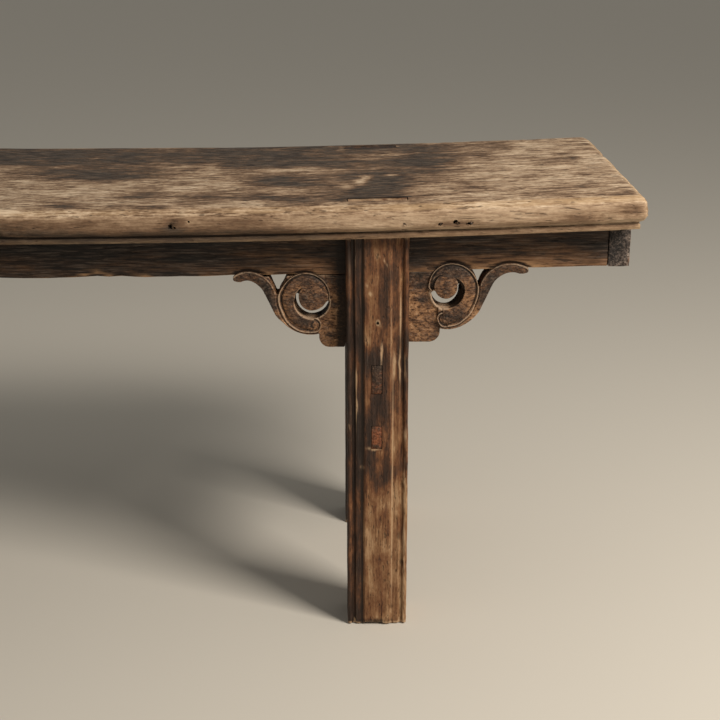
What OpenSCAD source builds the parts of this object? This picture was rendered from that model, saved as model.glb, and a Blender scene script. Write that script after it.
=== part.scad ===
// Recessed-leg bench with a sagged plank top, bridle-jointed legs, aprons and carved scroll spandrels.
// Units are millimetres. X runs along the bench, -Y is the front, Z is up, and the feet stand on Z = 0.

/* [Top plank] */
// Length of the plank over its nosings, on the top face
top_l = 1400; // [1100:5:1900]
// Width of the plank over its nosings
top_w = 388; // [330:1:460]
// Thickness of the plank
top_t = 37.5; // [32:0.5:50]
// Height of the worn seat at its lowest, in the middle
seat_h = 495; // [420:1:560]
// Radius of the plank's long sag
sag_radius = 16500; // [12000:500:60000]
// Height of the rounded nosing
nose_h = 29.5; // [25:0.5:30]
// Radius of the worn upper arris
arris_r = 12; // [8:0.5:14]
// Radius under the nosing
under_r = 9; // [6:0.5:11]
// Set-back of the fillet below the nosing
fillet_in = 8; // [5:0.5:12]
// Height of the quirk between nosing and fillet
quirk_h = 1.6; // [1:0.1:3]
// Depth of the quirk behind the fillet's face
quirk_in = 2; // [1:0.1:4]

/* [Legs] */
// Width of a leg along the bench
leg_w = 69; // [60:0.5:84]
// Depth of a leg across the bench
leg_d = 58; // [52:0.5:70]
// Overhang of the plank past the middle of a leg
overhang = 285; // [240:1:340]
// Set-back of a leg's face from the nosing
leg_inset = 23; // [15:0.5:60]
// Thickness of the outer cheek beside the slot
cheek = 20; // [14:0.5:22]
// Radius of the rounded inner corners
back_r = 5; // [2:0.5:8]
// Set-back of a top tenon from each side of its leg
tenon_side = 3; // [1:0.5:8]
// Depth of the inner cheek's stub tenon in the plank
stub_d = 16; // [10:0.5:24]

/* [Leg mouldings] */
// Width of the raised middle field
field_w = 27.6; // [22:0.2:32]
// Width of the step beside the field
step_w = 3.2; // [1.5:0.1:4]
// Depth of the flat strip below the field
strip_d = 2.2; // [1:0.1:3]
// Width of the flat strip
strip_w = 7; // [5:0.1:8]
// Width of the sloped side of the groove
slope_w = 2.3; // [1:0.1:3]
// Radius of the bead on a leg's corner
bead_r = 3.2; // [2:0.1:3.6]
// Set-back of the bead behind the field
bead_in = 1.4; // [0.5:0.1:2.5]

/* [Aprons] */
// Thickness of the long aprons and spandrels
apron_t = 22; // [18:0.5:26]
// Height of the aprons, which sag with the plank
apron_h = 46; // [36:0.5:60]
// Thickness of the end aprons
end_t = 23.5; // [18:0.5:30]
// Set-back of an end apron from the nosing
end_in = 9.5; // [8.5:0.5:40]
// How far an end apron stands proud of the long aprons
end_proud = 1; // [0.5:0.1:4]
// Thickness of the tongues between aprons and spandrels
tongue_t = 7; // [5:0.5:9]
// Length of these tongues
tongue_l = 9; // [6:0.5:12]

/* [Spandrels] */
// Drop of a spandrel below the apron, beside the leg
spandrel_h = 79; // [73:0.5:92]
// Width of the plain field beside the leg
lobe_w = 31; // [26:0.5:36]
// Radius of the lobe's lower corner
lobe_r = 12; // [6:0.5:14]
// Distance of the scroll's middle from the leg
scroll_x = 45; // [42:0.5:48]
// Distance of the scroll's middle below the apron, on the outer spandrels
scroll_z = 15; // [13:0.5:19]
// How much lower the inner spandrels are carved
inner_drop = 5; // [0:0.5:6]
// Share of that drop that the arm follows
arm_share = 0.6; // [0:0.1:1]
// Radius of the scroll on the leg's side
scroll_r = 26.3; // [24:0.1:28]
// Growth of the volute's radius from the leg's side to the far side
volute_step = 3.4; // [2:0.1:4.5]
// Radius of the sweep under the scroll
sweep_r = 41.5; // [38:0.5:44]
// Height of the sweep's lowest point above the lobe's foot
sweep_up = 15; // [12:0.5:18]
// Width of the band between the volute and the sweep, at its widest
band_w = 6.8; // [5:0.1:9]
// Width of the band where it dies under the curl
band_end = 2.5; // [1:0.1:4]
// Depth of the notch between scroll and arm
notch_z = 15; // [13:0.5:18]
// Distance of the arm's middle from the leg
arm_x = 107; // [102:0.5:112]
// Depth of the arm's middle below the apron
arm_z = 21; // [19:0.5:23]
// Radius of the hollow under the arm
hollow_r = 19.5; // [17:0.5:21]
// Radius of the arm's back
arm_r = 32; // [30:0.5:34]
// Reach of the arm's tip from the leg
arm_reach = 125; // [122:0.5:130]
// Radius of the arm's rounded tip
tip_r = 6; // [5:0.1:6.2]
// Drop of the tip below the crown of the hollow
tip_drop = 2; // [1:0.1:3]
// Radius of the scroll's pierced inner round
pierce_r = 19; // [17.5:0.1:20]
// Radius of the scroll's eye
eye_r = 13.5; // [12:0.1:14.5]
// Shift of the pierced round's middle towards the leg
pierce_x = 6.5; // [5:0.1:8]
// Drop of the pierced round's middle
pierce_z = 6.3; // [5:0.1:7]
// Shift of the eye's middle towards the leg
eye_x = 5.5; // [4:0.1:7]
// Height of the crescent's horns over the pierced round's middle
horn_z = 5; // [3:0.1:7]
// Tilt of the line through the crescent's horns
horn_angle = 15; // [5:1:25]
// Radius of the small curl
curl_r = 8.5; // [7:0.1:10]
// Height of the carved relief above the field
relief = 3; // [1.5:0.1:5]
// Width of the carved lines
line_w = 1.6; // [1:0.1:2.4]
// Depth of the carved lines
line_d = 1.4; // [0.5:0.1:2]

/* [Stretchers] */
// Thickness of a stretcher along the bench
rail_t = 25; // [18:0.5:32]
// Height of the upper stretcher
upper_h = 42; // [36:0.5:50]
// Height of the lower stretcher
lower_h = 36; // [30:0.5:46]
// Distance of the upper stretcher's middle below the spandrels' feet
upper_drop = 37; // [30:1:80]
// Distance between the middles of the two stretchers
rail_pitch = 68; // [56:1:110]
// Radius of the stretchers' rounded edges
rail_r = 7; // [3:0.5:8]
// Width of the stretchers' through-tenons
rail_tenon_w = 11.5; // [8:0.5:14]
// Shoulder above and below a stretcher's tenon
rail_shoulder = 4.5; // [3:0.5:8]

/* [Fits] */
// Clearance in the joints
fit = 0.15; // [0.1:0.05:0.4]

/* [Hidden] */

// The axis of the sag lies far above the seat. Smooth curves are drawn finely.
axis_z = seat_h + sag_radius;
end_angle = asin(top_l / 2 / sag_radius);
sag_facets = 2880;
scribe_steps = 40;
curve_facets = 96;
// Cuts run past the faces they cut by this much.
past = 1;

leg_x = top_l / 2 - overhang;
face_y = top_w / 2 - leg_inset;
apron_y = face_y - cheek;
end_x = top_l / 2 - end_in;
apron_z = apron_edge(leg_x);
end_z = apron_edge(end_x - end_t);
slot_z = apron_z - spandrel_h;
upper_z = slot_z - upper_drop;
lower_z = upper_z - rail_pitch;
groove_d = bead_in + bead_r;
rail_length = 2 * (face_y - leg_d);

// The volute is drawn with quarter arcs whose radii grow and whose middles step away.
sweep_x = scroll_x + scroll_r + volute_step + band_w - sweep_r;
sweep_z = spandrel_h - sweep_up - sweep_r;
curl_x = scroll_x - curl_r;
curl_z = spandrel_h - sweep_up - band_end - curl_r;

top_color = [0.60, 0.50, 0.40];
leg_color = [0.40, 0.28, 0.20];
apron_color = [0.27, 0.20, 0.15];
spandrel_color = [0.42, 0.31, 0.23];
rail_color = [0.32, 0.23, 0.17];

// Height of the sagged surface that lies this deep in the plank.
function sag_z(x, depth) = axis_z - sqrt(pow(sag_radius + depth, 2) - x * x);

// Height of the long aprons' lower edge.
function apron_edge(x) = sag_z(x, top_t) - apron_h;

// Everything above that surface, less a gap. It scribes the legs and aprons to the plank.
module above_sag(depth, gap) {
    roof = seat_h + 2 * top_t;
    rotate([90, 0, 0])
        linear_extrude(2 * top_w, center = true)
            polygon([
                [top_l / 2, roof], [-top_l / 2, roof],
                for (x = [-top_l / 2 : top_l / scribe_steps : top_l / 2]) [x, sag_z(x, depth) - gap]
            ]);
}

// The moulded edge, with X outwards from the nosing's face and Y up from the top face.
module edge_profile(inward) {
    union() {
        translate([-inward, -nose_h])
            square([inward - arris_r, nose_h]);
        translate([-inward, -nose_h + under_r])
            square([inward, nose_h - under_r - arris_r]);
        translate([-inward, -nose_h])
            square([inward - under_r, under_r + past]);
        translate([-arris_r, -arris_r])
            circle(arris_r, $fn = curve_facets);
        translate([-under_r, -nose_h + under_r])
            circle(under_r, $fn = curve_facets);
        translate([-inward, -nose_h - quirk_h - past])
            square([inward - fillet_in - quirk_in, quirk_h + 2 * past]);
        translate([-inward, -top_t])
            square([inward - fillet_in, top_t - nose_h - quirk_h]);
    }
}

// The plank's cross-section, with X as the depth below the top face and Y across the bench.
module plank_section() {
    rotate(90)
        union() {
            translate([top_w / 2, 0])
                edge_profile(top_w / 2 + past);
            mirror([1, 0])
                translate([top_w / 2, 0])
                    edge_profile(top_w / 2 + past);
        }
}

// What is cut away past the moulding of one end.
module end_waste() {
    waste = arris_r + past;
    translate([top_l / 2, 0, axis_z - sag_radius * cos(end_angle)])
        rotate([90, -end_angle, 0])
            linear_extrude(top_w + 2 * past, center = true)
                difference() {
                    translate([-waste, -top_t - past])
                        square([2 * waste, top_t + 2 * past]);
                    edge_profile(2 * waste);
                }
}

module leg_section() {
    strip_from = field_w / 2 + step_w;
    slope_from = strip_from + strip_w;
    groove_from = slope_from + slope_w;
    union() {
        translate([-leg_w / 2, groove_d])
            square([leg_w, leg_d - groove_d - back_r]);
        translate([-leg_w / 2 + back_r, groove_d])
            square([leg_w - 2 * back_r, leg_d - groove_d]);
        polygon([
            [-groove_from, groove_d], [-slope_from, strip_d], [-strip_from, strip_d], [-field_w / 2, 0],
            [field_w / 2, 0], [strip_from, strip_d], [slope_from, strip_d], [groove_from, groove_d]
        ]);
        for (side = [-1, 1]) {
            translate([side * (leg_w / 2 - back_r), leg_d - back_r])
                circle(back_r, $fn = curve_facets);
            translate([side * (leg_w / 2 - bead_r), groove_d])
                circle(bead_r, $fn = curve_facets);
        }
    }
}

// The leg's two top tenons in plan, the outer one first. Grown by a clearance they cut the mortises.
module outer_tenon(gap) {
    wide = leg_w - 2 * tenon_side;
    translate([-wide / 2 - gap, groove_d - gap])
        square([wide + 2 * gap, cheek - groove_d - fit + 2 * gap]);
}

module inner_tenon(gap) {
    wide = leg_w - 2 * tenon_side;
    from_y = cheek + apron_t + fit;
    translate([-wide / 2 - gap, from_y - gap])
        square([wide + 2 * gap, leg_d - back_r - from_y + 2 * gap]);
}

// The front right leg in its place.
module leg() {
    difference() {
        union() {
            difference() {
                translate([leg_x, -face_y, 0])
                    linear_extrude(seat_h + top_t)
                        leg_section();
                above_sag(top_t, fit);
            }
            translate([leg_x, -face_y, slot_z])
                linear_extrude(seat_h + top_t - slot_z)
                    outer_tenon(0);
            translate([leg_x, -face_y, slot_z])
                linear_extrude(sag_z(leg_x, top_t) + stub_d - slot_z)
                    inner_tenon(0);
        }
        above_sag(0, fit);
        translate([leg_x - leg_w, -face_y + cheek - fit, slot_z - fit])
            cube([2 * leg_w, apron_t + 2 * fit, seat_h]);
        rail_mortise(upper_z, upper_h);
        rail_mortise(lower_z, lower_h);
    }
}

// The through-mortise of one stretcher, from the leg's face inwards.
module rail_mortise(middle_z, height) {
    high = height - 2 * rail_shoulder + 2 * fit;
    translate([leg_x - rail_tenon_w / 2 - fit, -face_y - past, middle_z - high / 2])
        cube([rail_tenon_w + 2 * fit, leg_d + 2 * past, high]);
}

// The right half of the moulded bar, bent to the sag and a little too long.
module half_bar() {
    translate([0, 0, axis_z])
        rotate([90, 0, 0])
            rotate([0, 0, -90])
                rotate_extrude(angle = end_angle + asin(past / sag_radius), $fn = sag_facets)
                    translate([sag_radius, 0])
                        plank_section();
}

module top_plank() {
    color(top_color)
        difference() {
            union() {
                half_bar();
                mirror([1, 0, 0])
                    half_bar();
            }
            end_waste();
            mirror([1, 0, 0])
                end_waste();
            for (side_x = [0, 1], side_y = [0, 1])
                mirror([side_x, 0, 0])
                    mirror([0, side_y, 0])
                        top_mortises();
        }
}

module top_mortises() {
    translate([leg_x, -face_y, seat_h - 2 * top_t])
        linear_extrude(4 * top_t)
            outer_tenon(fit);
    translate([leg_x, -face_y, sag_z(leg_x, 2 * top_t)])
        linear_extrude(top_t + stub_d + fit)
            inner_tenon(fit);
}

module leg_front_right() {
    color(leg_color)
        leg();
}

module leg_front_left() {
    color(leg_color)
        mirror([1, 0, 0])
            leg();
}

module leg_rear_right() {
    color(leg_color)
        mirror([0, 1, 0])
            leg();
}

module leg_rear_left() {
    color(leg_color)
        mirror([1, 0, 0])
            mirror([0, 1, 0])
                leg();
}

// A board as high as the aprons that follows the sag, centred on its thickness.
module sagged_board(reach, thick) {
    rotate([90, 0, 0])
        linear_extrude(thick, center = true)
            polygon([
                for (step = [0 : scribe_steps]) [reach * (1 - 2 * step / scribe_steps),
                    sag_z(reach * (1 - 2 * step / scribe_steps), top_t) - fit],
                for (step = [0 : scribe_steps]) [reach * (2 * step / scribe_steps - 1),
                    apron_edge(reach * (2 * step / scribe_steps - 1))]
            ]);
}

// The front apron runs through both slots, with a tongue at each end and a groove below at each leg.
module apron() {
    reach = end_x - end_t - fit;
    translate([0, -apron_y + apron_t / 2, 0])
        difference() {
            union() {
                sagged_board(reach, apron_t);
                sagged_board(reach + tongue_l, tongue_t);
            }
            for (side = [-1, 1])
                translate([side * leg_x - groove_reach(), -tongue_t / 2 - fit, apron_z - tongue_l])
                    cube([2 * groove_reach(), tongue_t + 2 * fit, 2 * tongue_l + fit]);
        }
}

// The spandrels' upper tongue ends under the scroll.
function groove_reach() = leg_w / 2 + scroll_x + fit;

module apron_front() {
    color(apron_color)
        apron();
}

module apron_rear() {
    color(apron_color)
        mirror([0, 1, 0])
            apron();
}

// The end apron caps the long aprons, and its own end grain shows at the front.
module end_apron() {
    half = apron_y + end_proud;
    difference() {
        translate([end_x - end_t, -half, end_z])
            cube([end_t, 2 * half, seat_h - end_z]);
        above_sag(top_t, fit);
        for (side = [0, 1])
            mirror([0, side, 0])
                translate([
                    end_x - end_t - past,
                    -apron_y + apron_t / 2 - tongue_t / 2 - fit,
                    end_z - past
                ])
                    cube([tongue_l + fit + past, tongue_t + 2 * fit, seat_h]);
    }
}

module end_apron_right() {
    color(apron_color)
        end_apron();
}

module end_apron_left() {
    color(apron_color)
        mirror([1, 0, 0])
            end_apron();
}

// The tangent that joins the sweep to the hollow under the arm. Its angle follows from the two circles.
function sweep_middle() = [sweep_x, -sweep_z];
function hollow_middle(drop) = [arm_x, -arm_z - arm_share * drop];
function between(drop) = hollow_middle(drop) - sweep_middle();
function tangent_angle(drop) =
    atan2(between(drop)[1], between(drop)[0]) - acos((sweep_r + hollow_r) / norm(between(drop)));
function away(angle) = [cos(angle), sin(angle)];

// The volute's outline, inset by a margin. X is the distance from the leg and Y the height over the apron's edge.
module volute(drop, margin) {
    middle = [scroll_x, -scroll_z - drop];
    far_middle = middle - [0, volute_step];
    far_r = scroll_r + volute_step;
    low_r = far_middle[1] + spandrel_h - sweep_up - band_end;
    union() {
        translate(middle)
            circle(scroll_r - margin, $fn = curve_facets);
        intersection() {
            translate(far_middle)
                circle(far_r - margin, $fn = curve_facets);
            translate(far_middle)
                square(far_r);
        }
        intersection() {
            translate(far_middle + [far_r - low_r, 0])
                circle(low_r - margin, $fn = curve_facets);
            translate([curl_x, -spandrel_h])
                square([2 * far_r, spandrel_h + far_middle[1]]);
        }
        translate([curl_x, -curl_z])
            circle(curl_r - margin, $fn = curve_facets);
    }
}

// The band outside the volute. It dies under the curl, leaves the volute by a straight and rises as the arm.
module band(drop) {
    angle = tangent_angle(drop);
    hollow = hollow_middle(drop);
    foot = sweep_middle() + sweep_r * away(angle);
    head = hollow - hollow_r * away(angle);
    notch = -notch_z - arm_share * drop;
    tip = hollow[1] + hollow_r - tip_drop;
    difference() {
        union() {
            intersection() {
                translate(sweep_middle())
                    circle(sweep_r, $fn = curve_facets);
                translate([lobe_w - past, -spandrel_h])
                    square([2 * sweep_r, spandrel_h + foot[1]]);
            }
            polygon([
                [curl_x, foot[1] - past], foot, head,
                [arm_x - sqrt(pow(arm_r, 2) - pow(hollow[1] - notch, 2)), notch], [scroll_x, notch]
            ]);
            intersection() {
                translate(hollow)
                    circle(arm_r, $fn = curve_facets);
                union() {
                    translate([arm_x - arm_r, notch])
                        square(arm_r);
                    translate([arm_x - past, tip])
                        square([arm_reach - tip_r - arm_x + past, arm_r]);
                    translate([arm_reach - tip_r, tip + tip_r])
                        circle(tip_r, $fn = curve_facets);
                }
            }
        }
        translate(hollow)
            circle(hollow_r, $fn = curve_facets);
    }
}

// The plain field in the leg's slot and between leg and scroll, with its rounded lobe.
module field() {
    slot_w = leg_w / 2 - fit;
    union() {
        translate([-slot_w, -spandrel_h + lobe_r])
            square([slot_w + lobe_w, spandrel_h - lobe_r + tongue_l]);
        translate([-slot_w, -spandrel_h])
            square([slot_w + lobe_w - lobe_r, spandrel_h]);
        translate([lobe_w - lobe_r, -spandrel_h + lobe_r])
            circle(lobe_r, $fn = curve_facets);
    }
}

// The crescent pierced round the lower side of the eye.
module crescent(drop) {
    middle = [scroll_x, -scroll_z - drop];
    difference() {
        translate(middle - [pierce_x, pierce_z])
            circle(pierce_r, $fn = curve_facets);
        translate(middle - [eye_x, 0])
            circle(eye_r, $fn = curve_facets);
        translate(middle - [pierce_x, pierce_z - horn_z])
            rotate(horn_angle)
                translate([-2 * pierce_r, 0])
                    square(4 * pierce_r);
    }
}

// The carved line that follows the volute and its curl, a little inside the edge.
module carved_line(drop) {
    difference() {
        volute(drop, line_w);
        volute(drop, 2 * line_w);
    }
}

// The outline of one spandrel, up to its seat under the apron. Side is 1 beyond the leg and -1 before it.
module spandrel_outline(drop, side) {
    blank_l = leg_w / 2 + arm_reach + past;
    difference() {
        union() {
            field();
            volute(drop, 0);
            band(drop);
        }
        polygon([
            [blank_l, spandrel_h], [-leg_w / 2, spandrel_h],
            for (step = [0 : scribe_steps]) [blank_l * step / scribe_steps - leg_w / 2,
                apron_edge(leg_x + side * blank_l * step / scribe_steps) - apron_z - fit]
        ]);
    }
}

// The scroll and its band, which are carved higher than the field and lap over the apron.
module raised_outline(drop) {
    union() {
        volute(drop, 0);
        band(drop);
    }
}

// A spandrel beside the front right leg's right side, carved side to the front.
module spandrel(drop, side) {
    translate([leg_x + leg_w / 2, -apron_y, apron_z])
        rotate([90, 0, 0])
            difference() {
                union() {
                    translate([0, 0, -apron_t])
                        linear_extrude(apron_t)
                            spandrel_outline(drop, side);
                    linear_extrude(relief)
                        raised_outline(drop);
                    translate([-leg_w / 2 + fit, -tongue_l, -apron_t / 2 - tongue_t / 2])
                        cube([leg_w / 2 + scroll_x - fit, 2 * tongue_l, tongue_t]);
                }
                translate([0, 0, -apron_t - past])
                    linear_extrude(apron_t + relief + 2 * past)
                        crescent(drop);
                translate([0, 0, relief - line_d])
                    linear_extrude(line_d + past)
                        carved_line(drop);
            }
}

module spandrel_front_right_outer() {
    color(spandrel_color)
        spandrel(0, 1);
}

module spandrel_front_left_outer() {
    color(spandrel_color)
        mirror([1, 0, 0])
            spandrel(0, 1);
}

module spandrel_rear_right_outer() {
    color(spandrel_color)
        mirror([0, 1, 0])
            spandrel(0, 1);
}

module spandrel_rear_left_outer() {
    color(spandrel_color)
        mirror([1, 0, 0])
            mirror([0, 1, 0])
                spandrel(0, 1);
}

// An inner spandrel is the outer one turned over the leg's middle and carved a little lower.
module inner_spandrel() {
    translate([2 * leg_x, 0, 0])
        mirror([1, 0, 0])
            spandrel(inner_drop, -1);
}

module spandrel_front_right_inner() {
    color(spandrel_color)
        inner_spandrel();
}

module spandrel_front_left_inner() {
    color(spandrel_color)
        mirror([1, 0, 0])
            inner_spandrel();
}

module spandrel_rear_right_inner() {
    color(spandrel_color)
        mirror([0, 1, 0])
            inner_spandrel();
}

module spandrel_rear_left_inner() {
    color(spandrel_color)
        mirror([1, 0, 0])
            mirror([0, 1, 0])
                inner_spandrel();
}

module rail_section(height) {
    union() {
        square([rail_t, height - 2 * rail_r], center = true);
        square([rail_t - 2 * rail_r, height], center = true);
        for (side_x = [-1, 1], side_z = [-1, 1])
            translate([side_x * (rail_t / 2 - rail_r), side_z * (height / 2 - rail_r)])
                circle(rail_r, $fn = curve_facets);
    }
}

// A right-hand stretcher, shouldered between the legs, with a through-tenon at each end.
module stretcher(middle_z, height) {
    high = height - 2 * rail_shoulder;
    translate([leg_x, 0, middle_z])
        union() {
            rotate([90, 0, 0])
                linear_extrude(rail_length - 2 * fit, center = true)
                    rail_section(height);
            translate([-rail_tenon_w / 2, -face_y + fit, -high / 2])
                cube([rail_tenon_w, 2 * (face_y - fit), high]);
        }
}

module stretcher_right_upper() {
    color(rail_color)
        stretcher(upper_z, upper_h);
}

module stretcher_right_lower() {
    color(rail_color)
        stretcher(lower_z, lower_h);
}

module stretcher_left_upper() {
    color(rail_color)
        mirror([1, 0, 0])
            stretcher(upper_z, upper_h);
}

module stretcher_left_lower() {
    color(rail_color)
        mirror([1, 0, 0])
            stretcher(lower_z, lower_h);
}

top_plank();
leg_front_left();
leg_front_right();
leg_rear_left();
leg_rear_right();
apron_front();
apron_rear();
end_apron_left();
end_apron_right();
spandrel_front_left_inner();
spandrel_front_left_outer();
spandrel_front_right_inner();
spandrel_front_right_outer();
spandrel_rear_left_inner();
spandrel_rear_left_outer();
spandrel_rear_right_inner();
spandrel_rear_right_outer();
stretcher_left_upper();
stretcher_left_lower();
stretcher_right_upper();
stretcher_right_lower();
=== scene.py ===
import functools
import math

import bpy
import numpy
from mathutils import Euler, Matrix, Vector, noise


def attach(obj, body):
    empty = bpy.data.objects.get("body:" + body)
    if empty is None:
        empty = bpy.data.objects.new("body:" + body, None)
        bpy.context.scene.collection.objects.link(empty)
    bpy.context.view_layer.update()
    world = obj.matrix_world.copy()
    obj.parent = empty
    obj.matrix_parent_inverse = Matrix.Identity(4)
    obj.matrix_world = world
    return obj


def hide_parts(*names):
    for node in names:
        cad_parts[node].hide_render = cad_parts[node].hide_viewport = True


# An old recessed-leg bench of elm, worn through its dark lacquer. Lengths are metres, as in the frame.
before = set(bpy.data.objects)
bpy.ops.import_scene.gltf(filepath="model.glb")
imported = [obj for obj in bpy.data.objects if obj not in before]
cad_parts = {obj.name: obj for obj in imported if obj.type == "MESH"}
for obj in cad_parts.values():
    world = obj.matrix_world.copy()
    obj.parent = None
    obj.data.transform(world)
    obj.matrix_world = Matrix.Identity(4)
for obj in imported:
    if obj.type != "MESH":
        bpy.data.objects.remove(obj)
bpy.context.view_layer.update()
mm = 0.001

# The joinery's own sizes, which the pieces here are built to
build = {
    "legX": 0.415,
    "faceY": 0.171,
    "apronY": 0.151,
    "apronHigh": 0.046,
    "apronThick": 0.022,
    "spandrelHigh": 0.079,
    "seatZ": 0.495,
    "plankThick": 0.0375,
    "sagRadius": 16.5,
    "gap": 0.00015,
}


def sagLift(x):
    return build["sagRadius"] - math.sqrt(build["sagRadius"] ** 2 - x * x)


def undersideZ(x):
    return build["seatZ"] - build["plankThick"] + sagLift(x)


# The aprons' lower edge beside a leg, and the feet of the spandrels
apronZ = undersideZ(build["legX"]) - build["apronHigh"]
slotZ = apronZ - build["spandrelHigh"]


# Small tools for the modelling

def deselectAll():
    if bpy.context.object and bpy.context.object.mode != "OBJECT":
        bpy.ops.object.mode_set(mode="OBJECT")
    bpy.ops.object.select_all(action="DESELECT")


def makeActive(piece):
    deselectAll()
    piece.select_set(True)
    bpy.context.view_layer.objects.active = piece


def applyModifier(piece, modifier):
    makeActive(piece)
    bpy.ops.object.modifier_apply(modifier=modifier.name)


# Goes into edit mode with the whole piece selected
def editWhole(piece):
    makeActive(piece)
    bpy.ops.object.mode_set(mode="EDIT")
    bpy.ops.mesh.select_all(action="SELECT")


def softenEdges(piece, width, segments):
    soften = piece.modifiers.new("Soften", "BEVEL")
    soften.width = width
    soften.segments = segments
    applyModifier(piece, soften)


# A round pin from front to back, to cut a hole with
def addPin(place, radius, length, sides):
    deselectAll()
    bpy.ops.mesh.primitive_cylinder_add(
        vertices=sides, radius=radius, depth=length, location=place, rotation=(math.radians(90), 0, 0))
    bpy.ops.object.transform_apply(location=True, rotation=True, scale=True)
    return bpy.context.object


def addBlock(name, low, high):
    deselectAll()
    middle = [(a + b) / 2 for a, b in zip(low, high)]
    bpy.ops.mesh.primitive_cube_add(size=1, location=middle)
    piece = bpy.context.object
    piece.name = name
    bpy.ops.transform.resize(value=[b - a for a, b in zip(low, high)])
    bpy.ops.object.transform_apply(location=True, rotation=True, scale=True)
    return piece


# Selects the edges that run along one axis and cuts each into equal parts
def cutAlong(piece, axis, cuts, keep=lambda middle: True):
    makeActive(piece)
    bpy.ops.object.mode_set(mode="EDIT")
    bpy.ops.mesh.select_mode(type="EDGE")
    bpy.ops.mesh.select_all(action="DESELECT")
    bpy.ops.object.mode_set(mode="OBJECT")
    mesh = piece.data
    for edge in mesh.edges:
        one = mesh.vertices[edge.vertices[0]].co
        other = mesh.vertices[edge.vertices[1]].co
        way = other - one
        edge.select = abs(way[axis]) > 0.98 * way.length and keep((one + other) / 2)
    bpy.ops.object.mode_set(mode="EDIT")
    bpy.ops.mesh.subdivide(number_cuts=cuts)
    bpy.ops.object.mode_set(mode="OBJECT")


def joinPieces(first, others):
    makeActive(first)
    for other in others:
        other.select_set(True)
    bpy.ops.object.join()
    return first


def cutWith(piece, cutters, overlap=True):
    cutter = joinPieces(cutters[0], cutters[1:])
    cut = piece.modifiers.new("Cut", "BOOLEAN")
    cut.operation = "DIFFERENCE"
    cut.solver = "EXACT"
    cut.use_self = overlap
    cut.object = cutter
    applyModifier(piece, cut)
    bpy.data.objects.remove(cutter)


def readPoints(piece):
    mesh = piece.data
    points = numpy.empty(3 * len(mesh.vertices), dtype=numpy.float32)
    normals = numpy.empty_like(points)
    mesh.vertices.foreach_get("co", points)
    mesh.vertices.foreach_get("normal", normals)
    return points.reshape(-1, 3), normals.reshape(-1, 3)


def writePoints(piece, points):
    piece.data.vertices.foreach_set("co", numpy.ascontiguousarray(points, dtype=numpy.float32).ravel())
    piece.data.update()


def noiseAt(points, scale, seed):
    shift = Vector((seed, 1.7 * seed, 2.3 * seed))
    size = Vector(scale)
    return numpy.array([noise.noise(Vector(point) * size + shift) for point in points])


# Noise as shares from 0 to 1
def unevenAt(points, scale, seed):
    return 0.5 + 0.5 * noiseAt(points, scale, seed)


def smoothStep(low, high, value):
    share = numpy.clip((value - low) / (high - low), 0, 1)
    return share * share * (3 - 2 * share)


# How far each point stands above the average round it: ridges are positive and hollows negative
def measureBulge(piece, rounds):
    points, normals = readPoints(piece)
    ends = numpy.empty(2 * len(piece.data.edges), dtype=numpy.int32)
    piece.data.edges.foreach_get("vertices", ends)
    ends = ends.reshape(-1, 2)
    one = numpy.concatenate([ends[:, 0], ends[:, 1]])
    other = numpy.concatenate([ends[:, 1], ends[:, 0]])
    valence = numpy.maximum(numpy.bincount(one, minlength=len(points)), 1)
    flat = points.astype(float)
    for step in range(rounds):
        around = [numpy.bincount(one, weights=flat[other, axis], minlength=len(points)) for axis in range(3)]
        flat = 0.5 * flat + 0.5 * numpy.stack(around, axis=1) / valence[:, None]
    return ((points - flat) * normals).sum(axis=1)


# The wear and shade attribute: red for rubbed ridges and painted highlights, green for dirt and painted shade
# in hollows, blue for how much lacquer is left, with painted shade added to it in places, and alpha for how
# strongly the patina varies. The shape gives ridges and hollows, and spots are laid over them.
def markWearAndShade(piece, rounds, full, rubAndHighlight, dirtAndShade, coatAndShade, shapeShare, contrast=1.0):
    bulge = shapeShare * measureBulge(piece, rounds) / full
    colours = numpy.ones((len(bulge), 4), dtype=numpy.float32)
    colours[:, 0] = numpy.clip(numpy.clip(bulge, 0, 1) + rubAndHighlight, 0, 1)
    colours[:, 1] = numpy.clip(numpy.clip(-bulge, 0, 1) + dirtAndShade, 0, 1)
    colours[:, 2] = numpy.clip(coatAndShade, 0, 1)
    colours[:, 3] = contrast
    marks = piece.data.attributes.new("wear", "FLOAT_COLOR", "POINT")
    marks.data.foreach_set("color", colours.ravel())


# Adds up round spots: each has its middle, its half sizes and a strength
def sumSpots(first, second, spots):
    total = numpy.zeros(len(first))
    for middleFirst, middleSecond, halfFirst, halfSecond, strength in spots:
        away = ((first - middleFirst) / halfFirst) ** 2 + ((second - middleSecond) / halfSecond) ** 2
        total += strength * numpy.exp(-away)
    return total


def shadeSoft(piece, degrees):
    makeActive(piece)
    bpy.ops.object.shade_smooth_by_angle(angle=math.radians(degrees))


def finishPiece(piece, material, nodes):
    piece.data.materials.clear()
    piece.data.materials.append(material)
    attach(piece, "root")
    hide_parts(*nodes)


# Materials

def linearColour(hexColour):
    parts = [int(hexColour[at:at + 2], 16) / 255 for at in (1, 3, 5)]
    return [part / 12.92 if part <= 0.04045 else ((part + 0.055) / 1.055) ** 2.4 for part in parts] + [1.0]


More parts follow.
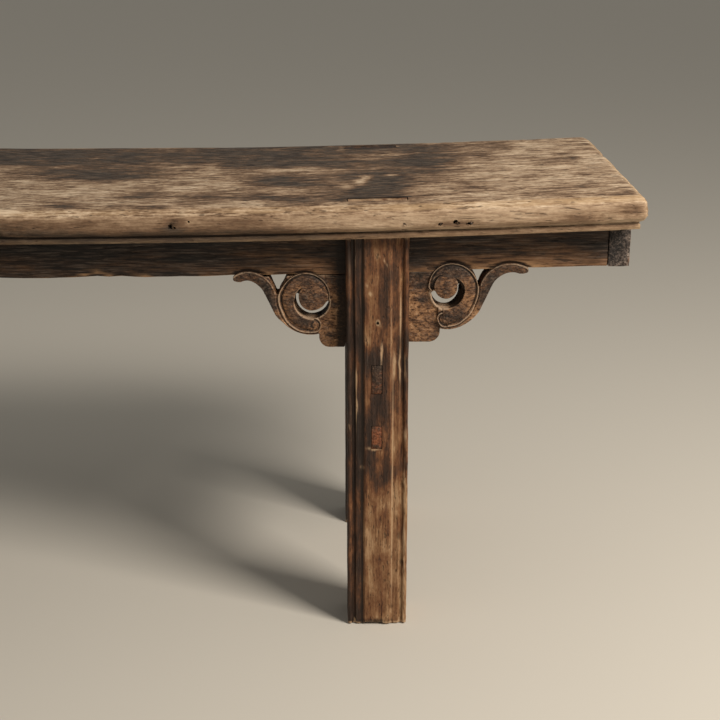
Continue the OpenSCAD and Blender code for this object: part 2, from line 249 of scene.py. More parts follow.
# Adds one node. A setting is a property of the node, or the stops of its ramp. An input is a value, a socket,
# or a node that feeds it.
def addNode(tree, kind, settings, inputs):
    made = tree.nodes.new(kind)
    for name, value in settings.items():
        if name != "stops":
            setattr(made, name, value)
            continue
        steps = made.color_ramp.elements
        for place, colour in value[1:-1]:
            steps.new(place)
        steps[0].position, steps[-1].position = value[0][0], value[-1][0]
        for step, (place, colour) in zip(steps, value):
            step.color = linearColour(colour)
    for name, value in inputs.items():
        named = [socket for socket in made.inputs if socket.enabled and socket.name == name]
        socket = named[0] if named else made.inputs[name]
        if isinstance(value, bpy.types.Node):
            value = next(output for output in value.outputs if output.enabled)
        if isinstance(value, bpy.types.NodeSocket):
            tree.links.new(value, socket)
        else:
            socket.default_value = value
    return made


# Elm, planed by hand and lacquered dark, then worn dry: dull streaked wood, with a low sheen where lacquer
# still holds. Patina runs from bare rubbed wood at 0 to whole lacquer at 1, and a ramp colours it, so a worn
# edge passes through brown. Noise drawn out along the grain makes that edge ragged.
# Patterns: sizes along x, y and z in millimetres, then the noise's detail, roughness and distortion.
baseLook = {
    "patterns": {
        "blotch": (130, 34, 34, 5.0, 0.60, 0.3),
        "figure": (110, 11, 11, 4.0, 0.62, 0.4),
        "fibre": (55, 4, 4, 6.0, 0.68, 0.2),
        "streak": (28, 1.8, 1.8, 4.0, 0.65, 0.0),
        "speck": (5.0, 2.8, 2.8, 3.0, 0.60, 0.0),
        "dash": (22, 3.8, 3.8, 3.0, 0.50, 0.0),
        "crack": (110, 8.5, 8.5, 2.0, 0.50, 0.3),
        "crackZone": (90, 35, 35, 2.0, 0.50, 0.0),
    },
    "patina": (("blotch", 1.2), ("figure", 0.9), ("fibre", 0.75), ("speck", 0.30)),
    "bareLevel": 0.22,
    "zoneReach": 0.60,
    "ridgeReach": -0.22,
    "streakDark": "#7A6654",
    "streakLight": "#4A4038",
    "streakFrom": 0.50,
    "dashFrom": 0.62,
    "dashShare": 0.75,
    "crackFrom": 0.60,
    "crackWide": 0.014,
    "crackShare": 0.8,
    "rubAndHighlightShare": 0.85,
    "dirtAndShadeShare": 0.92,
    "heights": {"figure": 0.9, "fibre": 0.9, "streak": 0.35, "speck": 0.3},
    "rough": (0.80, 0.58),
    "dirtAndShade": "#1E150E",
    "scar": "#241910",
}


def agedElm(name, look):
    material = bpy.data.materials.new(name)
    material.use_nodes = True
    tree = material.node_tree
    shader = tree.nodes["Principled BSDF"]
    add = functools.partial(addNode, tree)
    multiply = {"operation": "MULTIPLY"}
    multiplyAdd = {"operation": "MULTIPLY_ADD"}
    smooth = {"interpolation_type": "SMOOTHSTEP"}
    place = add("ShaderNodeTexCoord", {}, {}).outputs["Object"]
    wear = add("ShaderNodeAttribute", {"attribute_name": "wear"}, {})
    marks = add("ShaderNodeSeparateColor", {}, {"Color": wear.outputs["Color"]})
    ridge, hollow, zone = marks.outputs[0], marks.outputs[1], marks.outputs[2]
    grain = {}
    for pattern, (sizeX, sizeY, sizeZ, detail, roughness, distortion) in look["patterns"].items():
        scale = [1 / (size * mm) for size in (sizeX, sizeY, sizeZ)]
        stretched = add("ShaderNodeMapping", {}, {"Vector": place, "Scale": scale})
        grain[pattern] = add("ShaderNodeTexNoise", {}, {
            "Vector": stretched,
            "Scale": 1.0,
            "Detail": detail,
            "Roughness": roughness,
            "Distortion": distortion,
        })

    spread = -sum(share for pattern, share in look["patina"]) / 2
    for pattern, share in look["patina"]:
        spread = add("ShaderNodeMath", multiplyAdd, {0: grain[pattern], 1: share, 2: spread})
    patina = add("ShaderNodeMath", multiplyAdd, {0: spread, 1: wear.outputs["Alpha"], 2: look["bareLevel"]})
    for source, share in ((zone, look["zoneReach"]), (ridge, look["ridgeReach"])):
        patina = add("ShaderNodeMath", multiplyAdd, {0: source, 1: share, 2: patina})
    colour = add("ShaderNodeValToRGB", {"stops": look["stops"]}, {"Fac": patina})

    # Fine fibres, darker and lighter, over the two ends of the same noise
    least = look["streakFrom"]
    darker = (least, least + 0.16, "MULTIPLY", look["streakDark"])
    lighter = (0.98 - least, 0.82 - least, "SCREEN", look["streakLight"])
    for low, high, blend, tone in (darker, lighter):
        mask = add("ShaderNodeMapRange", {}, {
            "Value": grain["streak"], "From Min": low, "From Max": high, "To Max": wear.outputs["Alpha"]})
        colour = add("ShaderNodeMix", {"data_type": "RGBA", "blend_type": blend}, {
            "Factor": mask, "A": colour, "B": linearColour(tone)})

    # Rubbed ridges and painted highlights are pale, and hollows hold dirt and painted shade
    speckle = add("ShaderNodeMath", multiplyAdd, {0: grain["fibre"], 1: 2.4, 2: -0.2})
    rubAndHighlightReach = add("ShaderNodeMath", multiply, {0: speckle, 1: ridge})
    dirtAndShadeReach = add("ShaderNodeMath", multiply, {0: speckle, 1: hollow})
    rubbingAndHighlight = (rubAndHighlightReach, 0.15, look["rubAndHighlightShare"], look["rubbedAndLit"])
    soilingAndShading = (dirtAndShadeReach, 0.12, look["dirtAndShadeShare"], look["dirtAndShade"])
    for source, low, share, over in (rubbingAndHighlight, soilingAndShading):
        mask = add("ShaderNodeMapRange", smooth, {
            "Value": source, "From Min": low, "From Max": 0.75, "To Max": share})
        colour = add("ShaderNodeMix", {"data_type": "RGBA"}, {
            "Factor": mask, "A": colour, "B": linearColour(over)})

    # Dark dashes are open pores and scars. Drying cracks lie where a noise crosses its middle value.
    dash = add("ShaderNodeMapRange", smooth, {
        "Value": grain["dash"], "From Min": look["dashFrom"], "From Max": look["dashFrom"] + 0.08,
        "To Max": look["dashShare"]})
    offMiddle = add("ShaderNodeMath", {"operation": "SUBTRACT"}, {0: grain["crack"], 1: 0.5})
    offMiddle = add("ShaderNodeMath", {"operation": "ABSOLUTE"}, {0: offMiddle})
    crackLine = add("ShaderNodeMapRange", smooth, {
        "Value": offMiddle, "From Min": look["crackWide"], "From Max": 0.25 * look["crackWide"],
        "To Max": look["crackShare"]})
    crackHere = add("ShaderNodeMapRange", smooth, {
        "Value": grain["crackZone"], "From Min": look["crackFrom"], "From Max": look["crackFrom"] + 0.08})
    crack = add("ShaderNodeMath", multiply, {0: crackLine, 1: crackHere})
    dark = add("ShaderNodeMath", {"operation": "MAXIMUM"}, {0: crack, 1: dash})
    colour = add("ShaderNodeMix", {"data_type": "RGBA"}, {
        "Factor": dark, "A": colour, "B": linearColour(look["scar"])})

    # Heights in millimetres, turned to a bump
    height = 0.0
    scarDepth = -0.7
    for pattern, share in look["heights"].items():
        height = add("ShaderNodeMath", multiplyAdd, {0: grain[pattern], 1: share, 2: height})
    height = add("ShaderNodeMath", multiplyAdd, {0: dark, 1: scarDepth, 2: height})
    bump = add("ShaderNodeBump", {}, {"Strength": 1.0, "Distance": 1 * mm, "Height": height})
    bareRough, lacquerRough = look["rough"]
    rough = add("ShaderNodeMapRange", {}, {"Value": patina, "To Min": bareRough, "To Max": lacquerRough})
    tree.links.new(colour.outputs[2], shader.inputs["Base Color"])
    tree.links.new(rough.outputs[0], shader.inputs["Roughness"])
    tree.links.new(bump.outputs[0], shader.inputs["Normal"])
    shader.inputs["IOR"].default_value = 1.45
    shader.inputs["Specular IOR Level"].default_value = 0.35
    return material


# The seat is scrubbed elm: pale, dry and dull, with dark lacquer left in patches. The bands are wide across
# the top and narrow down the nosing.
seatLook = {
    **baseLook,
    "patterns": {
        "blotch": (62, 40, 26, 4.0, 0.58, 0.3),
        "figure": (52, 10, 8, 4.0, 0.62, 0.2),
        "fibre": (30, 4.6, 3.0, 5.0, 0.68, 0.1),
        "streak": (20, 3.2, 1.8, 4.0, 0.68, 0.0),
        "speck": (5, 4, 2.4, 3.0, 0.60, 0.0),
        "dash": (15, 5.5, 2.8, 3.0, 0.50, 0.0),
        "crack": (110, 18, 9, 2.0, 0.50, 0.3),
        "crackZone": (90, 40, 30, 2.0, 0.50, 0.0),
    },
    "patina": (("blotch", 1.1), ("figure", 0.9), ("fibre", 1.1), ("speck", 0.60)),
    "bareLevel": 0.21,
    "streakDark": "#84705E",
    "streakLight": "#54483C",
    "streakFrom": 0.48,
    "stops": ((0.00, "#CDB79C"), (0.18, "#B39A7F"), (0.34, "#957B61"), (0.50, "#705640"), (0.66, "#524030"),
              (0.82, "#40342A"), (1.00, "#362C23")),
    "rubbedAndLit": "#A88C6A",
    "rubAndHighlightShare": 0.72,
    "scar": "#3B2A1D",
    "dashShare": 0.65,
}

# A leg is planed elm under orange-brown lacquer with a low sheen, rubbed bare and dry at the foot
legLook = {
    **baseLook,
    "patterns": {
        "blotch": (15, 15, 42, 5.0, 0.62, 0.2),
        "figure": (7, 7, 80, 4.0, 0.62, 0.1),
        "fibre": (3.0, 3.0, 40, 5.0, 0.66, 0.0),
        "streak": (1.6, 1.6, 26, 4.0, 0.65, 0.0),
        "speck": (2.4, 2.4, 4.5, 3.0, 0.60, 0.0),
        "dash": (2.6, 2.6, 9, 3.0, 0.50, 0.0),
        "crack": (7, 7, 110, 2.0, 0.50, 0.2),
        "crackZone": (20, 20, 90, 2.0, 0.50, 0.0),
    },
    "patina": (("blotch", 1.5), ("figure", 0.8), ("fibre", 0.45), ("speck", 0.35)),
    "streakDark": "#A28C78",
    "streakLight": "#2C2622",
    "streakFrom": 0.54,
    "stops": ((0.00, "#A0805F"), (0.22, "#825F40"), (0.42, "#684329"), (0.60, "#472E1E"), (0.78, "#33231A"),
              (1.00, "#241A14")),
    "rubbedAndLit": "#AA8D6E",
    "dirtAndShadeShare": 0.85,
    "dashShare": 0.6,
    "rough": (0.74, 0.46),
}

# The aprons are planed elm whose lacquer is nearly whole: almost black, with brown along the grain
apronLook = {
    **baseLook,
    "stops": ((0.00, "#8C6A4A"), (0.25, "#6E4F36"), (0.45, "#503824"), (0.62, "#37271B"), (0.80, "#271D16"),
              (1.00, "#1B1510")),
    "rubbedAndLit": "#A5805C",
    "rough": (0.74, 0.50),
}

# The spandrels are carved elm. Carving cuts across the grain, so the lacquer is mottled and pitted, and the
# rubbed beads catch the light.
spandrelLook = {
    **baseLook,
    "patterns": {
        **baseLook["patterns"],
        "blotch": (26, 18, 18, 5.0, 0.62, 0.3),
        "figure": (9, 6, 6, 4.0, 0.68, 0.4),
        "fibre": (4.4, 2.8, 2.8, 5.0, 0.70, 0.2),
        "streak": (5, 2, 2, 4.0, 0.65, 0.0),
        "speck": (1.9, 1.5, 1.5, 3.0, 0.60, 0.0),
        "dash": (3.4, 2.4, 2.4, 3.0, 0.50, 0.0),
    },
    "patina": (("blotch", 1.0), ("figure", 0.9), ("fibre", 0.7), ("speck", 0.60)),
    "stops": ((0.00, "#AD8765"), (0.20, "#8E6846"), (0.40, "#6B4C34"), (0.58, "#4A3526"), (0.78, "#32261D"),
              (1.00, "#211913")),
    "rubbedAndLit": "#A08A74",
    "rubAndHighlightShare": 0.8,
    "heights": {"figure": 0.6, "fibre": 0.7, "streak": 0.1, "speck": 0.7},
    "rough": (0.72, 0.55),
}

# The end aprons are sawn elm that shows dark grey, speckled end grain at the front
endApronLook = {
    **baseLook,
    "patterns": {
        **baseLook["patterns"],
        "blotch": (16, 60, 16, 5.0, 0.60, 0.3),
        "figure": (6, 60, 6, 4.0, 0.62, 0.4),
        "fibre": (3, 40, 3, 6.0, 0.68, 0.2),
        "streak": (1.8, 28, 1.8, 4.0, 0.65, 0.0),
        "dash": (3.0, 22, 3.0, 3.0, 0.50, 0.0),
    },
    "stops": ((0.00, "#9A8C82"), (0.20, "#74685F"), (0.40, "#4F4640"), (0.60, "#37302C"), (0.80, "#27221F"),
              (1.00, "#1A1614")),
    "rubbedAndLit": "#A5826C",
}

# A stretcher is dark lacquered elm, but the raw end grain of its tenons is orange and dry
stretcherLook = {
    **apronLook,
    "patterns": {
        **baseLook["patterns"],
        "blotch": (30, 90, 30, 5.0, 0.60, 0.3),
        "figure": (8, 70, 8, 4.0, 0.62, 0.2),
        "fibre": (4, 50, 4, 5.0, 0.66, 0.1),
        "streak": (1.8, 28, 1.8, 4.0, 0.65, 0.0),
    },
    "stops": ((0.00, "#9A5F3C"), (0.22, "#7C482C"), (0.42, "#4E3424"), (0.60, "#37271B"), (0.80, "#271D16"),
              (1.00, "#1B1510")),
    "dashShare": 0.3,
    "crackShare": 0.2,
}

seatElm = agedElm("wornSeatElm", seatLook)
legElm = agedElm("lacqueredLegElm", legLook)
apronElm = agedElm("lacqueredApronElm", apronLook)
endApronElm = agedElm("lacqueredEndApronElm", endApronLook)
carvedElm = agedElm("carvedSpandrelElm", spandrelLook)
stretcherElm = agedElm("lacqueredStretcherElm", stretcherLook)
print("materials ready")


# The seat: one thick plank with a moulded edge all round

seat = {
    "length": 1.3980,
    "width": 0.388,
    "cellsAlong": 400,
    "cellsAcross": 54,
    "arris": 0.012,
    "under": 0.009,
    "nose": 0.0295,
    "quirk": 0.0012,
    "quirkIn": 0.0012,
    "fillet": 0.008,
    "cornerRadius": 0.009,
    "arcSteps": 8,
    "mortiseHalf": 0.0320,
    "mortiseNear": 0.1667,
    "mortiseFar": 0.1501,
    "wormDeep": 0.020,
}


# Each point is how far in from the nosing's face and how deep below the top the moulding lies
def mouldingSteps():
    steps = []
    for at in range(1, seat["arcSteps"] + 1):
        turn = math.radians(90 * at / seat["arcSteps"])
        steps.append((seat["arris"] * (1 - math.sin(turn)), seat["arris"] * (1 - math.cos(turn))))
    underTop = seat["nose"] - seat["under"]
    steps.append((0, (seat["arris"] + underTop) / 2))
    for at in range(seat["arcSteps"] + 1):
        turn = math.radians(90 * at / seat["arcSteps"])
        steps.append((seat["under"] * (1 - math.cos(turn)), underTop + seat["under"] * math.sin(turn)))
    quirkIn = seat["fillet"] + seat["quirkIn"]
    steps.append((quirkIn, seat["nose"] + 0.2 * mm))
    steps.append((quirkIn, seat["nose"] + seat["quirk"]))
    steps.append((seat["fillet"] + 0.6 * mm, seat["nose"] + seat["quirk"] + 0.3 * mm))
    steps.append((seat["fillet"], seat["nose"] + seat["quirk"] + 1 * mm))
    steps.append((seat["fillet"], build["plankThick"] - 1.2 * mm))
    steps.append((seat["fillet"] + 1 * mm, build["plankThick"]))
    return steps


def addSeatPlank():
    deselectAll()
    bpy.ops.mesh.primitive_grid_add(x_subdivisions=seat["cellsAlong"],
                                    y_subdivisions=seat["cellsAcross"], size=1)
    piece = bpy.context.object
    piece.name = "seatPlank"
    flatLong = seat["length"] - 2 * seat["arris"]
    flatWide = seat["width"] - 2 * seat["arris"]
    bpy.ops.transform.resize(value=(flatLong, flatWide, 1))
    bpy.ops.object.transform_apply(location=True, rotation=True, scale=True)
    bpy.ops.object.mode_set(mode="EDIT")
    bpy.ops.mesh.select_all(action="SELECT")
    bpy.ops.mesh.region_to_loop()
    long, wide, deep = flatLong, flatWide, 0
    for inset, depth in mouldingSteps():
        newLong = seat["length"] - 2 * inset
        newWide = seat["width"] - 2 * inset
        bpy.ops.mesh.extrude_edges_move(TRANSFORM_OT_translate={"value": (0, 0, deep - depth)})
        bpy.ops.transform.resize(value=(newLong / long, newWide / wide, 1), center_override=(0, 0, 0))
        long, wide, deep = newLong, newWide, depth
    # The underside is a copy of the top, fitted to the last step and merged with it
    bpy.ops.mesh.select_all(action="DESELECT")
    bpy.ops.object.mode_set(mode="OBJECT")
    for face in piece.data.polygons:
        face.select = all(abs(piece.data.vertices[index].co.z) < 1e-6 for index in face.vertices)
    bpy.ops.object.mode_set(mode="EDIT")
    bpy.ops.mesh.select_mode(type="FACE")
    bpy.ops.mesh.duplicate_move(TRANSFORM_OT_translate={"value": (0, 0, -deep)})
    bpy.ops.transform.resize(value=(long / flatLong, wide / flatWide, 1), center_override=(0, 0, 0))
    bpy.ops.mesh.flip_normals()
    bpy.ops.mesh.select_all(action="SELECT")
    bpy.ops.mesh.remove_doubles(threshold=2e-5)
    bpy.ops.mesh.normals_make_consistent(inside=False)
    bpy.ops.object.mode_set(mode="OBJECT")
    return piece


# Chips and dents by their place on the plank: x, y, depth below the top, then half sizes and how deep
seatChips = [
    (0.03, -0.194, 0.02, 0.03, 0.007, 2.6), (-0.02, -0.194, 0.013, 0.018, 0.006, 2.0),
    (0.203, -0.19, 0.004, 0.006, 0.008, 2.2), (0.198, -0.194, 0.016, 0.008, 0.004, 2.6),
    (0.306, -0.194, 0.01, 0.004, 0.006, 1.6), (0.482, -0.193, 0.0215, 0.01, 0.003, 2.2),
    (0.497, -0.193, 0.0205, 0.006, 0.003, 1.8), (0.51, -0.193, 0.022, 0.007, 0.003, 2.0),
    (0.44, -0.193, 0.022, 0.005, 0.0025, 1.4), (0.664, -0.19, 0.022, 0.022, 0.006, 2.0),
    (0.694, -0.186, 0.02, 0.01, 0.008, 2.4), (-0.18, -0.193, 0.01, 0.02, 0.006, 2.0),
    (-0.39, -0.193, 0.018, 0.014, 0.006, 2.4), (-0.56, -0.192, 0.006, 0.026, 0.006, 2.2),
    (-0.69, -0.18, 0.014, 0.016, 0.01, 2.6), (0.5, 0.192, 0.003, 0.03, 0.006, 2.4),
    (0.24, 0.192, 0.003, 0.016, 0.005, 2.0), (0.62, 0.19, 0.004, 0.02, 0.006, 2.4),
    (-0.1, 0.192, 0.01, 0.024, 0.008, 2.4), (-0.48, 0.192, 0.005, 0.018, 0.006, 2.6),
    (0.699, 0.06, 0.004, 0.01, 0.018, 2.2), (0.699, -0.11, 0.006, 0.01, 0.014, 2.0),
    (-0.699, 0.02, 0.006, 0.01, 0.02, 2.4), (0.377, -0.16, 0.0, 0.005, 0.003, 1.8),
    (0.452, -0.163, 0.0, 0.006, 0.003, 1.6),
]


def wearSeatPlank(piece):
    points, normals = readPoints(piece)
    halfLong = seat["length"] / 2
    halfWide = seat["width"] / 2
    depth = -points[:, 2]
    inset = numpy.minimum(halfLong - abs(points[:, 0]), halfWide - abs(points[:, 1]))
    # A rounded corner in plan
    over = numpy.stack([abs(points[:, 0]) - halfLong, abs(points[:, 1]) - halfWide], axis=1)
    over = over + seat["cornerRadius"]
    corner = (over[:, 0] > 0) & (over[:, 1] > 0)
    shrink = over.max(axis=1) / numpy.maximum(numpy.hypot(over[:, 0], over[:, 1]), 1e-9)
    moved = points.copy()
    for axis, half in ((0, halfLong), (1, halfWide)):
        place = half - seat["cornerRadius"] + over[:, axis] * shrink
        moved[corner, axis] = (numpy.sign(points[:, axis]) * place)[corner]
    # Wear only takes wood away, most of all along the upper arris
    broad = unevenAt(moved, (6, 14, 30), 3.0)
    close = unevenAt(moved, (28, 60, 90), 7.0)
    fine = unevenAt(moved, (90, 160, 220), 11.0)
    loss = 0.55 * mm * broad + 0.35 * mm * close + 0.12 * mm * fine
    arris = smoothStep(0.016, 0.004, inset) * smoothStep(0.018, 0.006, depth)
    loss += arris * (0.5 + 1.3 * close * close) * mm
    # The rear arris is rubbed down on the right
    loss += 2.2 * mm * smoothStep(0.172, 0.190, moved[:, 1]) * smoothStep(0.10, 0.34, moved[:, 0])
    foot = smoothStep(0.004, 0.0, abs(depth - seat["nose"] + 0.002)) * smoothStep(0.014, 0.006, inset)
    loss += foot * close * 0.7 * mm
    for x, y, deep, halfX, halfS, most in seatChips:
        away = ((moved[:, 0] - x) / halfX) ** 2
        if abs(x) < 0.69:
            away += ((depth - deep) / halfS) ** 2 + ((moved[:, 1] - y) / 0.012) ** 2
        else:
            away += ((moved[:, 1] - y) / halfS) ** 2 + ((depth - deep) / 0.006) ** 2
        near = away < 4
        if near.any():
            ragged = 0.55 + 0.9 * noiseAt(moved[near], (160, 160, 220), x * 50)
            loss[near] += most * mm * numpy.exp(-away[near] * (1.6 - ragged)) * numpy.clip(ragged, 0.1, 1.4)
    moved -= normals * loss[:, None]
    # The sag bends the plank, and its ends stand square to the bend
    turn = moved[:, 0] / build["sagRadius"]
    radius = build["sagRadius"] - moved[:, 2]
    moved[:, 0] = radius * numpy.sin(turn)
    moved[:, 2] = build["seatZ"] + build["sagRadius"] - radius * numpy.cos(turn)
    writePoints(piece, moved)
    return depth, inset


# Where lacquer still holds on the seat's top: x, y, half sizes and strength. Scraped places have a strength
# below zero.
lacquerSpots = [
    (0.02, 0.155, 0.17, 0.062, 0.8), (0.06, 0.09, 0.125, 0.04, 0.65), (0.115, 0.008, 0.066, 0.046, 0.9),
    (0.29, 0.135, 0.125, 0.062, 0.85), (0.3, 0.06, 0.088, 0.036, 0.6), (0.482, 0.05, 0.032, 0.092, 0.85),
    (0.416, -0.085, 0.044, 0.072, 0.85), (0.44, 0.155, 0.09, 0.026, 0.45), (0.53, 0.118, 0.045, 0.055, 0.4),
    (0.3, -0.048, 0.024, 0.026, 0.55), (0.325, -0.06, 0.075, 0.06, 0.36), (0.42, 0.04, 0.046, 0.055, 0.42),
    (0.162, -0.118, 0.03, 0.015, 0.6), (0.074, -0.172, 0.026, 0.016, 0.7),
    (0.168, -0.176, 0.036, 0.017, 0.65), (0.28, -0.132, 0.04, 0.012, 0.5),
    (0.23, -0.124, 0.045, 0.016, 0.3), (0.34, -0.16, 0.045, 0.026, 0.28), (0.03, 0.008, 0.052, 0.028, 0.42),
    (0.52, -0.105, 0.052, 0.034, 0.22), (0.582, 0.13, 0.028, 0.016, 0.42), (0.664, 0.128, 0.02, 0.009, 0.5),
    (0.642, 0.065, 0.013, 0.006, 0.6), (0.656, 0.034, 0.011, 0.007, 0.6),
    (0.632, -0.131, 0.013, 0.006, 0.5), (0.68, -0.165, 0.008, 0.01, 0.6),
    (0.615, -0.174, 0.012, 0.005, 0.45), (0.596, -0.06, 0.03, 0.007, 0.25),
    (0.56, 0.01, 0.026, 0.008, 0.22), (0.69, 0.08, 0.01, 0.03, 0.3), (0.425, 0.102, 0.034, 0.009, -0.9),
    (0.38, 0.138, 0.007, 0.014, -0.45), (0.404, -0.044, 0.006, 0.016, -1.1),
    (0.396, -0.066, 0.006, 0.016, -1.1), (0.385, -0.09, 0.006, 0.014, -1.1),
    (0.43, -0.026, 0.009, 0.006, -0.8), (0.367, -0.04, 0.01, 0.008, -0.55),
    (0.377, 0.014, 0.01, 0.006, -0.55), (0.22, 0.055, 0.016, 0.03, -0.45),
    (0.04, 0.135, 0.058, 0.016, -0.38), (0.3, 0.01, 0.042, 0.014, -0.3), (0.236, -0.07, 0.036, 0.03, -0.3),
    (0.09, -0.062, 0.058, 0.007, -0.3), (0.65, 0.16, 0.042, 0.016, -0.35), (0.19, 0.15, 0.04, 0.01, -0.25),
    (-0.23, 0.11, 0.2, 0.07, 0.8), (-0.52, 0.13, 0.15, 0.05, 0.75), (-0.4, -0.05, 0.08, 0.06, 0.75),
    (-0.61, 0.0, 0.06, 0.08, 0.45), (-0.2, -0.155, 0.055, 0.016, 0.6), (-0.33, 0.1, 0.034, 0.01, -0.7),
    (-0.56, -0.12, 0.07, 0.02, 0.45), (-0.12, 0.02, 0.07, 0.02, 0.4), (-0.46, 0.06, 0.012, 0.03, -0.6),
]


# The spots' borders are drawn out by noise, and a thin haze of lacquer lies between them in the middle
def seatZone(points):
    ragged = numpy.stack([noiseAt(points, (26, 70, 0), seed) for seed in (5.0, 9.0, 13.0)], axis=1)
    spread = points + 0.010 * ragged
    haze = 0.20 * smoothStep(0.14, 0.24, points[:, 0]) * smoothStep(0.50, 0.44, points[:, 0])
    return numpy.clip(1.15 * sumSpots(spread[:, 0], spread[:, 1], lacquerSpots) + haze - 0.04, 0, 1)


# Stains on the nosing by place and depth below the top, half sizes and strength
nosingSpots = [
    (0.625, 0.02, 0.03, 0.007, 0.45), (0.68, 0.015, 0.016, 0.008, 0.5), (0.56, 0.026, 0.04, 0.005, 0.3),
    (0.015, 0.02, 0.06, 0.008, 0.4), (-0.04, 0.012, 0.04, 0.006, 0.35), (0.2, 0.018, 0.012, 0.008, 0.45),
    (0.25, 0.025, 0.06, 0.006, 0.25), (0.496, 0.022, 0.022, 0.003, 0.6), (-0.3, 0.016, 0.08, 0.01, 0.35),
    (-0.56, 0.02, 0.06, 0.01, 0.4),
]


# Worm holes in the nosing: place, depth below the top and radius
wormHoles = [
    (0.4955, 0.0195, 0.0011), (0.4985, 0.0214, 0.0008), (0.5095, 0.0225, 0.0007), (0.5125, 0.0215, 0.0005),
    (0.479, 0.0215, 0.0005), (0.442, 0.021, 0.0004), (0.1985, 0.018, 0.0007), (0.202, 0.0196, 0.0006),
    (0.217, 0.013, 0.0006), (0.004, 0.0185, 0.0006),
]


# The legs' tenons show on the top in mortises that are a little too wide for them
def cutMortises(piece):
    cutters = []
    for x, deep, radius in wormHoles:
        cutters.append(addPin((x, -seat["width"] / 2, -deep), radius, seat["wormDeep"], 8))
    for sideX in (-1, 1):
        for sideY in (-1, 1):
            middle = sideX * build["legX"]
            ends = sorted((-sideY * seat["mortiseNear"], -sideY * seat["mortiseFar"]))
            cutters.append(addBlock("cutter", (middle - seat["mortiseHalf"], ends[0], -0.05),
                                    (middle + seat["mortiseHalf"], ends[1], 0.01)))
    cutWith(piece, cutters, overlap=False)


def makeSeat():
    piece = addSeatPlank()
    cutMortises(piece)
    depth, inset = wearSeatPlank(piece)
    points = readPoints(piece)[0]
    zone = seatZone(points)
    arris = smoothStep(0.0140, 0.0080, inset) * smoothStep(0.0085, 0.0030, depth)
    wander = unevenAt(points, (14, 60, 60), 31.0)
    nosing = smoothStep(0.004, 0.010, depth)
    # The nosing is darker towards the left and on the fillet; low on the left it is darkened more, as painted
    # shade
    level = numpy.interp(points[:, 0], (-0.05, 0.20, 0.40, 0.60), (0.46, 0.32, 0.14, 0.07))
    level = level + 0.48 * smoothStep(0.030, 0.032, depth) * (inset > 0.004)
    level = level + 0.35 * smoothStep(0.016, 0.028, depth) * smoothStep(0.55, 0.20, points[:, 0])
    coatAndShade = zone * (1 - nosing) + nosing * (level + sumSpots(points[:, 0], depth, nosingSpots))
    # The groove under the nosing and the nosing's lower edge are darkened as painted shade, less so towards
    # the right
    dirtAndShade = 0.6 * smoothStep(0.0022, 0.0, abs(depth - seat["nose"] - 0.0006)) * (inset < 0.011)
    dirtAndShade += 0.4 * smoothStep(0.022, 0.029, depth) * smoothStep(0.006, 0.002, inset) * wander
    # The upper arris is pale, partly rubbed and partly a painted highlight, more so towards the right
    rightward = numpy.interp(points[:, 0], (-0.05, 0.20, 0.40, 0.60), (0.50, 0.60, 0.85, 1.0))
    rubAndHighlight = arris * (0.15 + 0.62 * wander) * rightward
    dirtAndShade = dirtAndShade * numpy.interp(points[:, 0], (0.30, 0.60), (1.0, 0.5))
    for x, deep, radius in wormHoles:
        away = numpy.hypot(points[:, 0] - x, depth - deep)
        dirtAndShade += 0.55 * (away < radius + 0.9 * mm) * (inset > 2 * mm) * (points[:, 1] < 0)
    # The mortises' edges are chipped and pale at both ends, and dark along the rear
    fromMortise = abs(abs(points[:, 0]) - build["legX"])
    fromMiddle = abs(points[:, 1])
    onTop = depth < 0.003
    atMortise = smoothStep(0.050, 0.044, fromMortise) * (abs(fromMiddle - 0.158) < 0.014)
    ends = smoothStep(0.0055, 0.0, abs(fromMortise - 0.0355)) * (abs(fromMiddle - 0.160) < 0.0075) * onTop
    coatAndShade = coatAndShade - 0.9 * ends * numpy.clip(noiseAt(points, (260, 260, 0), 71.0) + 0.35, 0, 1)
    rearLine = smoothStep(0.0034, 0.0012, abs(fromMiddle - seat["mortiseFar"] + 0.0012)) * onTop
    dirtAndShade += 0.7 * rearLine * smoothStep(0.040, 0.036, fromMortise)
    lowerFillet = smoothStep(0.0345, 0.0362, depth) * (inset > 0.005) * (inset < 0.012)
    coatAndShade = coatAndShade - 0.15 * lowerFillet
    markWearAndShade(piece, 6, 0.9 * mm, rubAndHighlight, dirtAndShade, coatAndShade, 0.2 * (1 - atMortise), 1 - 0.60 * nosing)
    shadeSoft(piece, 50)
    finishPiece(piece, seatElm, ["top_plank"])


makeSeat()
print("seat ready")


# The legs: a moulded front, a slotted head and two tenons into the seat

leg = {
    "width": 0.069,
    "depth": 0.058,
    "field": 0.0276,
    "step": 0.0032,
    "stripDeep": 0.0022,
    "strip": 0.007,
    "slope": 0.0023,
    "beadRadius": 0.0032,
    "beadIn": 0.0014,
    "backRadius": 0.005,
    "cheek": 0.020,
    "tenonSide": 0.003,
    "stub": 0.016,
    "cuts": 220,
    "pegZ": 0.3656,
    "pegAcross": 0.0006,
    "pegRadius": 0.0015,
    "markShift": 0.023,
}
stretcher = {
    "thick": 0.025,
    "upperZ": slotZ - 0.037,
    "lowerZ": slotZ - 0.105,
    "upperHigh": 0.042,
    "lowerHigh": 0.036,
    "edge": 0.007,
    "tenonWide": 0.0115,
    "shoulder": 0.0045,
}


def arcPoints(middle, radius, fromDegrees, toDegrees, steps):
    turns = [math.radians(fromDegrees + (toDegrees - fromDegrees) * at / steps) for at in range(steps + 1)]
    return [(middle[0] + radius * math.cos(turn), middle[1] + radius * math.sin(turn)) for turn in turns]


